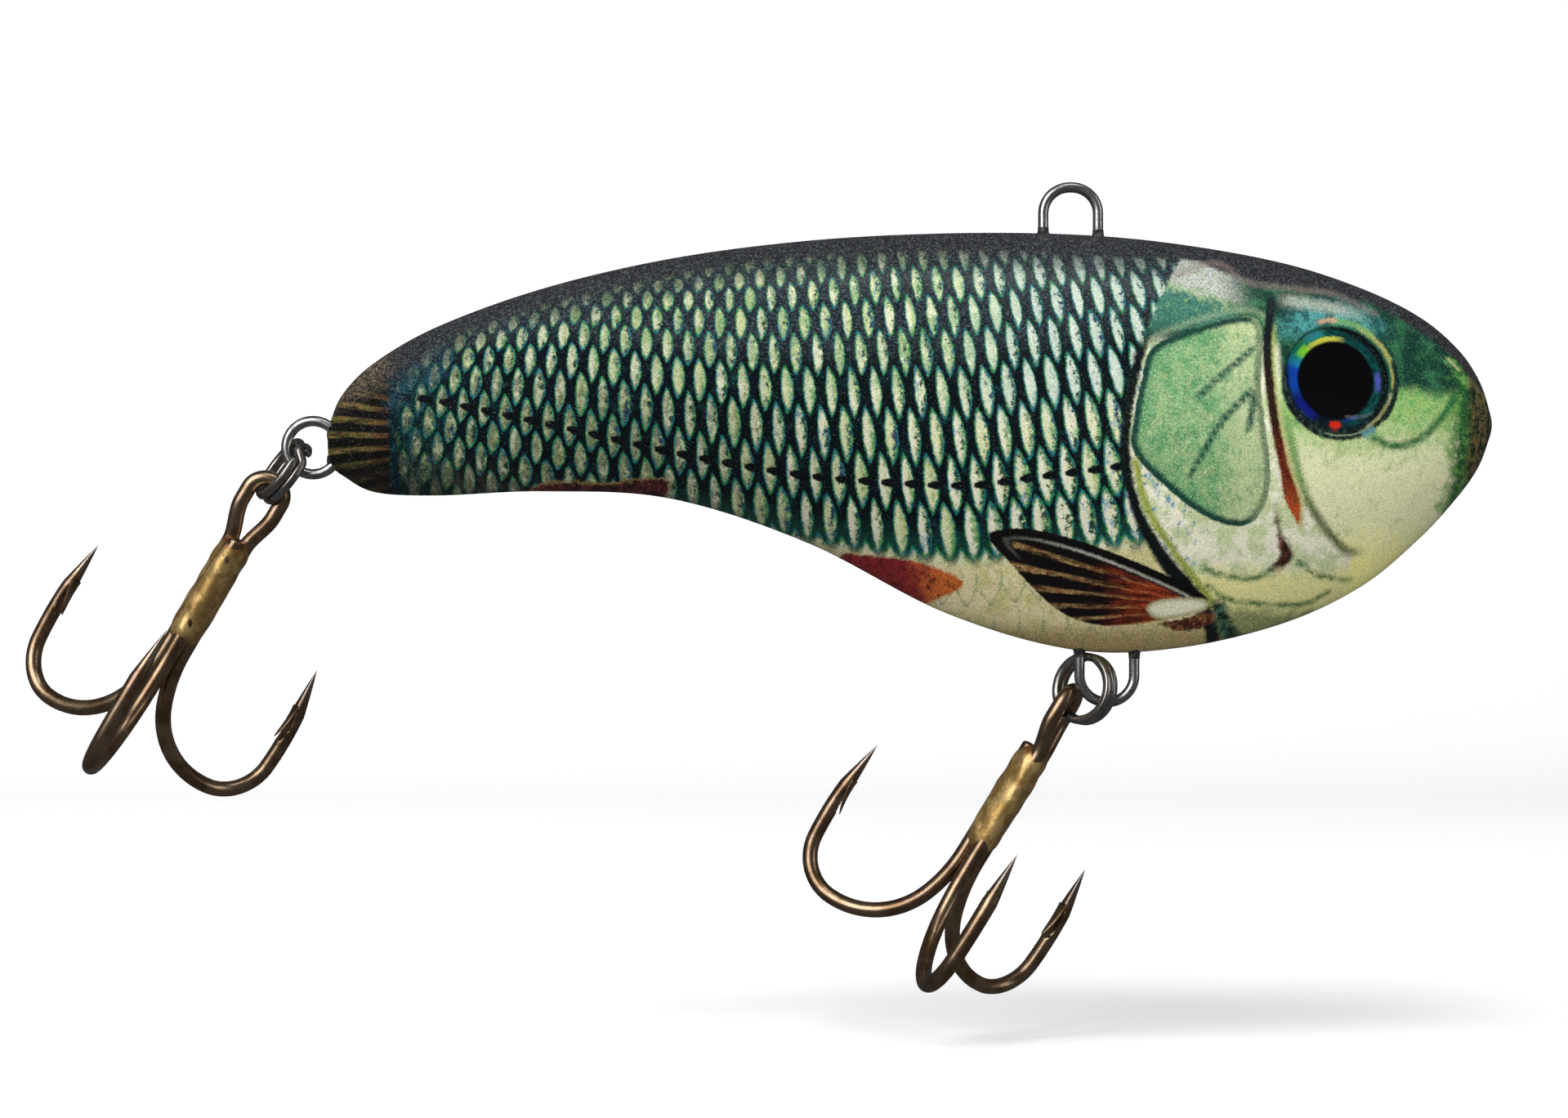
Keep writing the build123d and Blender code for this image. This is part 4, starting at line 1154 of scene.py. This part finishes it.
back_at = lambda x: np.interp(x, hull_line[:, 0], hull_line[:, 1])
belly_at = lambda x: np.interp(x, hull_line[:, 0], hull_line[:, 2])
collars = [meniscus((x, 0, back_at(x)), (0, 0, 1), 0.55, 0.55) for x in (-TIE_LEG_X, TIE_LEG_X)]
collars += [meniscus((x, 0, belly_at(x)), (0, 0, -1), 0.60, 0.60) for x in (belly_left, belly_right)]
collars += [meniscus((-70.1, 0, TAIL_LOOP[1] + s * TAIL_LEG_OFFSET), (-1, 0, 0), 0.45,
                     0.5) for s in (-1, 1)]
tube_piece("lacquer_collars", collars, lacquer_look, "lure_body", "printed_shell")


# ------------------------------------------------------------------ split rings
def ring_frame(at, tilt, opening):
    """Origin and directions of a ring: the long way seen from the side, across it, and its axis."""
    tilt, opening = math.radians(tilt), math.radians(opening)
    long_way = np.array([-math.sin(tilt), 0, -math.cos(tilt)])
    across = np.array([math.cos(tilt), 0, -math.sin(tilt)])
    other = np.array([0, -1.0, 0]) * math.cos(opening) + across * math.sin(opening)
    axis = np.cross(long_way, other)
    return np.array(at, float), long_way, np.cross(axis, long_way), axis


def split_ring(name, body, node, at, tilt, opening, start):
    """Two flattened coils of one wire, stepping over beside the cut ends."""
    origin, long_way, other, axis = ring_frame(at, tilt, opening)
    turn = 360 - RING_GAP_ANGLE
    angle = np.concatenate([
        np.linspace(start, start + turn, 150),
        np.linspace(start + turn, start + 360, 14)[1:-1],
        np.linspace(start + 360, start + 360 + turn, 150),
    ])
    share = np.clip((angle - start - turn) / RING_GAP_ANGLE, 0, 1)
    height = RING_STEP * (2 * share * share * (3 - 2 * share) - 1)
    from_start, from_end = angle - start, angle[-1] - angle
    flare = 0.16 * np.clip(1 - from_start / 30, 0, 1) ** 2 + 0.10 * np.clip(1 - from_end / 30, 0, 1) ** 2
    turned = np.radians(angle)
    radius = RING_R + flare
    points = origin + np.outer(radius * np.cos(turned), long_way) + np.outer(radius * np.sin(turned), other)
    points = points + np.outer(height, axis)
    taper = np.clip(np.minimum(from_start, from_end) / 5, 0.0, 1) * 0.25 + 0.75
    sizes = np.stack([RING_HALF_DEPTH * np.ones_like(taper), RING_HALF_WIDTH * taper], axis=1)
    parts = [swept(points, sizes, side_hint=axis, segments=20, squareness=0.72, start_dome=0.08,
                   end_dome=0.08)]
    return tube_piece(name, parts, nickel_look, body, "nickel_ring", node)


for place in ("belly", "tail"):
    split_ring(f"{place}_split_ring_coils", f"{place}_ring", f"{place}_split_ring", **RINGS[place])


# ------------------------------------------------------------------ treble hooks
def hook_frame(at, swing, lean, roll):
    """Origin and directions of a treble: towards the single arm, beside it, and down the shank."""
    swing, lean, roll = math.radians(swing), math.radians(lean), math.radians(roll)
    down = np.array([-math.sin(swing) * math.cos(lean), math.sin(lean), -math.cos(swing) * math.cos(lean)])
    near = np.array([0, -1.0, 0])
    near = unit(near - down * (near @ down))
    alone = near * math.cos(roll) + np.cross(near, down) * math.sin(roll)
    return np.array(at, float), alone, np.cross(down, alone), down


def arm_line(step=0.14):
    """One arm from the shank's end to its point: (distance from the axis, distance down)."""
    r, s, heading = SHANK_R, SHANK_END, 0.0
    line = [(r, s)]
    for radius, turn in BEND_ARCS:
        centre = (r + radius * math.cos(heading), s - radius * math.sin(heading))
        count = max(6, int(radius * math.radians(turn) / step))
        for angle in heading + np.linspace(0, math.radians(turn), count)[1:]:
            line.append((centre[0] - radius * math.cos(angle), centre[1] + radius * math.sin(angle)))
        r, s = line[-1]
        heading += math.radians(turn)
    way = np.array([math.sin(heading), math.cos(heading)])
    for run in np.linspace(0, POINT_LENGTH, 30)[1:]:
        line.append(tuple(np.array([r, s]) + way * run))
    return np.array(line), np.array([r, s]), way


ARM_LINE, POINT_START, POINT_WAY = arm_line()
ARM_RUN = np.concatenate([[0], np.cumsum(np.linalg.norm(np.diff(ARM_LINE, axis=0), axis=1))])
TO_POINT = ARM_RUN[-1] - ARM_RUN
BARB_ROOT, BARB_TIP = -0.1, -3.6


def point_radius(to_point):
    """Wire radius by the distance still to go to the point: a needle with a slightly hollow taper."""
    return np.maximum(HOOK_R * np.clip(to_point / (POINT_LENGTH + 0.9), 0, 1) ** 0.86, 0.035)


def arm_points(turn):
    """The arm's centreline in the hook's own frame."""
    turn = math.radians(turn)
    return np.stack([ARM_LINE[:, 0] * math.cos(turn), ARM_LINE[:, 0] * math.sin(turn), ARM_LINE[:, 1]],
                    axis=1)


def eye_line(step=0.14):
    """Centreline of the double hook's eye, from one shank over the top to the other."""
    shank_side, shank_back = SHANK_R * math.sin(math.radians(120)), SHANK_R * math.cos(math.radians(120))
    top = EYE_LINE + EYE_HALF
    s = np.concatenate([np.arange(SHANK_END - step, EYE_CLOSED, -step),
                        np.linspace(EYE_CLOSED, EYE_STRAIGHT_END, 40),
                        np.linspace(EYE_STRAIGHT_END, top, 12)[1:]])
    share = np.clip((EYE_CLOSED - s) / (EYE_CLOSED - EYE_STRAIGHT_END), 0, 1)
    share = share * share * (3 - 2 * share)
    up = np.stack([shank_back * (1 - share), shank_side + (EYE_HALF - shank_side) * share, s], axis=1)
    round_top = np.radians(np.linspace(0, 180, 40)[1:-1])
    crown = np.stack([0 * round_top, EYE_HALF * np.cos(round_top), top - EYE_HALF * np.sin(round_top)],
                     axis=1)
    down = up[::-1] * (1, -1, 1)
    return np.vstack([up, crown, down])


def point_frame(turn):
    """Where an arm's point begins, the way it runs and the way its inner side faces."""
    turn = math.radians(turn)
    outward = np.array([math.cos(turn), math.sin(turn), 0])
    forward = outward * POINT_WAY[0] + np.array([0, 0, POINT_WAY[1]])
    inward = -(outward * POINT_WAY[1] - np.array([0, 0, POINT_WAY[0]]))
    inward = inward * np.sign(inward @ -outward)
    start = outward * POINT_START[0] + np.array([0, 0, POINT_START[1]])
    return start, forward, inward


def shave(verts, turn):
    """Flattens the inner side of an arm where its barb was cut out."""
    start, forward, inward = point_frame(turn)
    offset = verts - start
    run, depth = offset @ forward, offset @ inward
    aside = offset @ np.cross(forward, inward)
    near = (run > BARB_TIP - 0.2) & (run < BARB_ROOT + 0.4) & (np.abs(aside) < 1.2) & (np.abs(depth) < 1.2)
    limit = HOOK_R - 0.34 * np.clip((run - BARB_TIP) / 1.2, 0,
                                    1) * np.clip((BARB_ROOT + 0.4 - run) / 0.5, 0, 1)
    extra = np.where(near, np.maximum(depth - limit, 0), 0)
    return verts - np.outer(extra, inward)


def barb(turn):
    """The sliver lifted from the inner side of the wire, its free end towards the bend."""
    start, forward, inward = point_frame(turn)
    share = np.linspace(0, 1, 16)
    run = BARB_ROOT + (BARB_TIP - BARB_ROOT) * share
    depth = 0.40 + 0.10 * share + 0.86 * share**1.7
    points = start + np.outer(run, forward) + np.outer(depth, inward)
    wide = 0.58 * (1 - share) ** 0.6 + 0.05
    thick = 0.26 * (1 - share) ** 0.8 + 0.03
    sizes = np.stack([wide, thick], axis=1)
    return swept(points, sizes, side_hint=np.cross(forward, inward), segments=14, squareness=0.8)


def treble(place):
    """A treble: the double hook with its eye, the single hook and the braze that joins them."""
    origin, alone, beside, down = hook_frame(**HOOKS[place])
    basis = np.stack([alone, beside, down])
    body = f"{place}_treble"

    def finish_hook(name, parts, runs, node):
        verts, faces = joined(parts)
        obj = mesh_object(name, origin + verts @ basis, faces, hook_look)
        sharpen(obj, 42)
        store(obj.data, "hook", runs)
        own(obj, body, "bronze_hook", node)

    def to_tip(verts, turns):
        """Distance to the nearest point of the hook."""
        best = np.full(len(verts), 99.0)
        for turn in turns:
            tip = arm_points(turn)[-1]
            best = np.minimum(best, np.linalg.norm(verts - tip, axis=1))
        return best

    first, second = arm_points(120), arm_points(-120)
    line = np.vstack([first[::-1], eye_line(), second])
    to_point = np.concatenate([TO_POINT[::-1], np.full(len(eye_line()), 99.0), TO_POINT])
    wire, wire_faces = swept(line, point_radius(to_point), side_hint=(-0.5, -0.8, 0.2),
                             segments=HOOK_SEGMENTS)
    for turn in (120, -120):
        wire = shave(wire, turn)
    parts = [(wire, wire_faces), barb(120), barb(-120)]
    finish_hook(f"{place}_double_hook_wire", parts, to_tip(joined(parts)[0], (120, -120)),
                f"{place}_treble_double_hook")

    shank = np.stack([np.full(80, SHANK_R), np.zeros(80), np.linspace(SINGLE_TOP + 0.3, SHANK_END
                                                                      - 0.14, 80)], axis=1)
    line = np.vstack([shank, arm_points(0)])
    to_point = np.concatenate([np.full(len(shank), 99.0), TO_POINT])
    wire, wire_faces = swept(line, point_radius(to_point), side_hint=(0, 1, 0), segments=HOOK_SEGMENTS,
                             start_dome=0.3)
    parts = [(shave(wire, 0), wire_faces), barb(0)]
    finish_hook(f"{place}_single_hook_wire", parts, to_tip(joined(parts)[0], (0,)),
                f"{place}_treble_single_hook")

    # the braze: follows the three shanks, lumpy, and runs out between them at both ends
    rows, columns = 110, 96
    s = np.linspace(*BRAZE, rows)
    turn = np.linspace(0, 2 * math.pi, columns, endpoint=False)
    rng = np.random.default_rng(7 if place == "belly" else 11)
    waves = [(rng.integers(1, 6), rng.uniform(0.5, 3.2), rng.uniform(0, 6.3),
              rng.uniform(0.006, 0.02)) for _ in range(14)]
    verts, marks = [], []
    for level in s:
        end = min(level - BRAZE[0], BRAZE[1] - level)
        swell = 1 - math.exp(-end / 0.5)
        for angle in turn:
            over = 0.5 + 0.5 * math.cos(3 * angle)
            radius = 1.50 + 0.25 * over**1.4
            radius += sum(size * math.cos(n * angle + k * level + phase) for n, k, phase, size in waves)
            radius = radius * swell + (0.75 + 0.35 * over) * (1 - swell)
            verts.append((radius * math.cos(angle), radius * math.sin(angle), level))
            marks.append((level - BRAZE[0], angle, abs(radius * (angle - 0.9 - 0.06 * (level - 12)))))
    faces = tube_faces(rows, columns)
    faces += [tuple(range(columns)), tuple(range((rows - 1) * columns, rows * columns))]
    obj = mesh_object(f"{place}_brazed_sleeve", origin + np.array(verts) @ basis, faces, braze_look)
    sharpen(obj, 50)
    marks = np.array(marks)
    store(obj.data, "braze", marks[:, 0], marks[:, 1], marks[:, 2])
    own(obj, body, "braze_alloy", f"{place}_treble_braze")


for place in ("belly", "tail"):
    treble(place)


# ------------------------------------------------------------------ eyes
def iris_material():
    """Foil iris: a wide black pupil and colour that changes round it."""
    net = Net("foil_iris")
    u, v, r = net.attribute("eye")
    turn = net.math("ARCTAN2", v, u)
    streaks = net.noise(net.join(turn * 2.2, r * 0.8, 0.0), 2.6, 3, 0.7)
    grain = net.noise(net.millimetres(), 4.5, 2, 0.8)

    def towards(angle, spread):
        """1 in that direction round the eye, 0 beyond the spread."""
        near = net.math("COSINE", turn - math.radians(angle))
        return (near + (streaks - 0.5) * 0.05).ramp(math.cos(math.radians(spread)), 1.0)

    inner = r + (grain - 0.5) * 0.5
    colour = net.mix(streaks.ramp(0.4, 0.64), (0.002, 0.026, 0.03), (0.004, 0.085, 0.075))
    colour = colour.paint(towards(238, 60), (0.002, 0.006, 0.012))
    colour = colour.paint(towards(220, 26) * 0.9, (0.003, 0.01, 0.2))
    colour = colour.paint(towards(174, 34), (0.004, 0.06, 0.42))
    colour = colour.paint(towards(150, 18) * 0.9, (0.015, 0.28, 0.42))
    colour = colour.paint(towards(128, 34) * inner.ramp(3.9, 4.2, 0.6, 1.0), (0.012, 0.22, 0.12))
    colour = colour.paint(towards(139, 13) * inner.ramp(4.5, 4.2), (0.2, 0.62, 0.03))
    colour = colour.paint(towards(116, 16) * inner.ramp(4.1, 4.3), (0.03, 0.3, 0.34))
    colour = colour.paint(towards(106, 34) * inner.ramp(4.15, 3.95), (0.6, 0.62, 0.07))
    colour = colour.paint(towards(0, 15) * abs(inner - 4.0).line(0.28, 0.12), (0.075, 0.085, 0.4))
    colour = colour.paint(towards(290, 16) * inner.ramp(4.0, 3.8), (0.004, 0.03, 0.16))
    rim_start = 4.22 + towards(122, 60) * 0.45
    rim = net.mix(grain.ramp(0.5, 0.66), (0.002, 0.004, 0.005), (0.016, 0.05, 0.045))
    colour = colour.paint(inner.ramp(rim_start, rim_start + 0.3), rim)
    # painted highlight: the glint of the lens rim, laid into the foil's colour at the upper left
    painted_rim_glint = abs(inner - 4.82).line(0.04, 0.1)
    colour = colour.paint(painted_rim_glint * towards(146, 34) * 0.7, (0.16, 0.26, 0.36))
    spot_u, spot_v = (u - -0.2, v + 4.12)
    spot = net.math("SQRT", spot_u * spot_u + spot_v * spot_v * 2.2)
    colour = colour.paint((spot + (grain - 0.5) * 0.9).ramp(0.66, 0.4), (0.6, 0.022, 0.008))
    pupil = r + (grain - 0.5) * 0.3
    colour = colour.paint(pupil.ramp(PUPIL_R + 0.14, PUPIL_R - 0.14), (0.0005, 0.0004, 0.0012))
    net.bump(streaks, 0.15, 0.05)
    return net.finish(Base_Color=colour, Metallic=0.0, Roughness=0.5, Specular_IOR_Level=0.1)


def lens_material():
    """Clear resin with a faint haze."""
    net = Net("clear_eye_resin")
    mm = net.millimetres()
    haze = net.noise(mm, 1.4, 2)
    return net.finish(Base_Color=(0.97, 0.98, 0.97), Roughness=haze.ramp(0.3, 0.8, 0.02, 0.05), IOR=1.3,
                      Specular_IOR_Level=0.15, Transmission_Weight=1.0)


def lathe(profile, side, segments=96):
    """A solid of revolution about an eye's axis, from (radius, height) points that start and end on it."""
    origin, forward, up, out = eye_axes(side)
    angles = np.linspace(0, 2 * math.pi, segments, endpoint=False)
    verts = [origin + profile[0][1] * out]
    for radius, height in profile[1:-1]:
        verts += [origin + radius * (math.cos(a) * forward + math.sin(a) * up) + height
                  * out for a in angles]
    verts.append(origin + profile[-1][1] * out)
    rows = len(profile) - 2
    faces = [(0, 1 + (j + 1) % segments, 1 + j) for j in range(segments)]
    faces += tube_faces(rows, segments, 1)
    last = 1 + (rows - 1) * segments
    faces += [(last + j, last + (j + 1) % segments, len(verts) - 1) for j in range(segments)]
    return verts, faces


iris_look, lens_look = iris_material(), lens_material()
for name, side in (("right", -1), ("left", 1)):
    origin, forward, up, out = eye_axes(side)
    flat_rings = [(r, -0.7 - 0.1 * math.cos(r / EYE_R
                                            * 3.1416)) for r in np.linspace(EYE_R - 0.12, 0.25, 18)]
    profile = [(0, -0.98), (EYE_R - 0.12, -0.98), (EYE_R - 0.04, -0.9), *flat_rings, (0, -0.80)]
    verts, faces = lathe(profile, side)
    iris = mesh_object(f"eye_foil_{name}", verts, faces, iris_look)
    sharpen(iris, 50)
    offset = np.array(verts) - origin
    u, v = offset @ forward, offset @ up
    store(iris.data, "eye", u, v, np.hypot(u, v))
    own(iris, "lure_body", "eye_foil", f"eye_iris_{name}")

    rise, edge_z, edge_round = 1.0, 0.10, 0.10
    crown_r = (EYE_R**2 + rise**2) / (2 * rise)
    crown = []
    for r in np.linspace(EYE_R - edge_round, 0.2, 22):
        crown.append((r, edge_z + rise - (crown_r - math.sqrt(crown_r**2 - r * r))))
    profile = [(0, -0.56), (EYE_R - 0.2, -0.56), (EYE_R - 0.03, -0.46), (EYE_R, 0.0), *crown,
               (0, edge_z + rise)]
    verts, faces = lathe(profile, side)
    lens = mesh_object(f"eye_dome_{name}", verts, faces, lens_look)
    sharpen(lens, 60)
    lens.visible_shadow = False
    own(lens, "lure_body", "eye_resin", f"eye_lens_{name}")


# ------------------------------------------------------------------ pieces kept from the CAD
def lead_material():
    """Dull cast lead."""
    net = Net("cast_lead")
    mm = net.millimetres()
    mottle = net.noise(mm, 1.1, 4, 0.6)
    fine = net.noise(mm, 6.0, 2, 0.7)
    colour = net.mix(mottle.ramp(0.35, 0.65), (0.1, 0.105, 0.115), (0.24, 0.245, 0.255))
    net.bump(mottle + fine * 0.4, 0.4, 0.15)
    return net.finish(Base_Color=colour, Metallic=0.85, Roughness=fine.ramp(0.3, 0.7, 0.48, 0.66))


lead_look = lead_material()
ball_look = wire_material("polished_steel_ball", (0.62, 0.62, 0.61), (0.34, 0.34, 0.335), 0.10)
for node, look in (
    ("nose_ballast", lead_look),
    ("belly_ballast", lead_look),
    ("rattle_ball_front", ball_look),
    ("rattle_ball_middle", ball_look),
    ("rattle_ball_rear", ball_look),
):
    for slot in frame["nodes"][node].material_slots:
        slot.material = look


# ------------------------------------------------------------------ floor, light and camera
FLOOR_Z = -81.0
CAMERA_AT = (-27.22, -230.0, -32.82)
LENS_MM = 55.6


def backdrop():
    """A pale sheet that rises behind the object in one sweep."""
    line = [(-900.0, FLOOR_Z), (260.0, FLOOR_Z)]
    bend_r = 260.0
    for angle in np.linspace(-90, 0, 25)[1:]:
        turned = math.radians(angle)
        line.append((260.0 + bend_r * math.cos(turned), FLOOR_Z + bend_r + bend_r * math.sin(turned)))
    line.append((260.0 + bend_r, 1400.0))
    verts = [(x, y, z) for y, z in line for x in (-1500.0, 1500.0)]
    faces = [(2 * i, 2 * i + 1, 2 * i + 3, 2 * i + 2) for i in range(len(line) - 1)]
    net = Net("pale_paper")
    grain = net.noise(net.millimetres(), 0.35, 3)
    colour = net.mix(grain.ramp(0.3, 0.7), (0.9, 0.9, 0.9), (0.92, 0.92, 0.92))
    sheet = mesh_object("pale_backdrop", verts, faces, net.finish(Base_Color=colour, Roughness=0.9,
                                                                  Emission_Color=colour,
                                                                  Emission_Strength=0.24))
    for kind in ("visible_glossy", "visible_diffuse", "visible_transmission"):
        setattr(sheet, kind, False)


backdrop()


def softbox(name, at, aim, width, height, power, glossy, only=None):
    """An area light; only limits it to a collection of pieces."""
    light = bpy.data.lights.new(name, "AREA")
    light.shape = "RECTANGLE"
    light.size, light.size_y = width * MM, height * MM
    light.energy = power
    obj = bpy.data.objects.new(name, light)
    obj.location = Vector(at) * MM
    obj.rotation_euler = (Vector(aim) - Vector(at)).to_track_quat("-Z", "Y").to_euler()
    obj.visible_glossy = obj.visible_transmission = glossy
    bpy.context.scene.collection.objects.link(obj)
    if only:
        obj.light_linking.receiver_collection = only


bare_metal = bpy.data.collections.new("bare_metal")
for obj in bpy.data.objects:
    if obj.name.endswith(("_loop", "_coils", "_wire", "_sleeve")) and obj.type == "MESH":
        bare_metal.objects.link(obj)

OBJECT_MIDDLE = (-15, 0, -30)
softbox("key_softbox", (-220, -330, 620), OBJECT_MIDDLE, 460, 380, 5.4, False)
softbox("front_fill", (-40, -740, 130), OBJECT_MIDDLE, 600, 500, 4.3, False)
softbox("top_strip", (60, -300, 640), OBJECT_MIDDLE, 420, 110, 0.5, True)
softbox("far_side_fill", (-60, 700, 320), OBJECT_MIDDLE, 500, 400, 3.4, False)
softbox("metal_box", (-430, -560, 330), OBJECT_MIDDLE, 560, 660, 3.4, True, bare_metal)
softbox("metal_rim", (520, -300, 120), OBJECT_MIDDLE, 160, 500, 0.35, True, bare_metal)

world = bpy.data.worlds.new("studio")
bpy.context.scene.world = world
world.use_nodes = True
nodes, link = world.node_tree.nodes, world.node_tree.links.new
sky = nodes["Background"]
sky.inputs[0].default_value = (0.95, 0.96, 1.0, 1.0)
# mirror-like surfaces see a darker room, and the camera sees the white of the backdrop
rays = nodes.new("ShaderNodeLightPath")
darken = nodes.new("ShaderNodeMapRange")
darken.inputs[3].default_value = 0.30
darken.inputs[4].default_value = 0.07
link(rays.outputs["Is Glossy Ray"], darken.inputs[0])
background = nodes.new("ShaderNodeMath")
background.operation = "MAXIMUM"
link(darken.outputs[0], background.inputs[0])
link(rays.outputs["Is Camera Ray"], background.inputs[1])
link(background.outputs[0], sky.inputs[1])
bpy.context.scene.view_settings.view_transform = "Standard"

camera_data = bpy.data.cameras.new("camera")
camera_data.lens = LENS_MM
camera_data.sensor_width = 36.0
camera_data.clip_start = 0.01
camera = bpy.data.objects.new("camera", camera_data)
camera.location = Vector(CAMERA_AT) * MM
camera.rotation_euler = (math.radians(90), 0, 0)
bpy.context.scene.collection.objects.link(camera)
bpy.context.scene.camera = camera
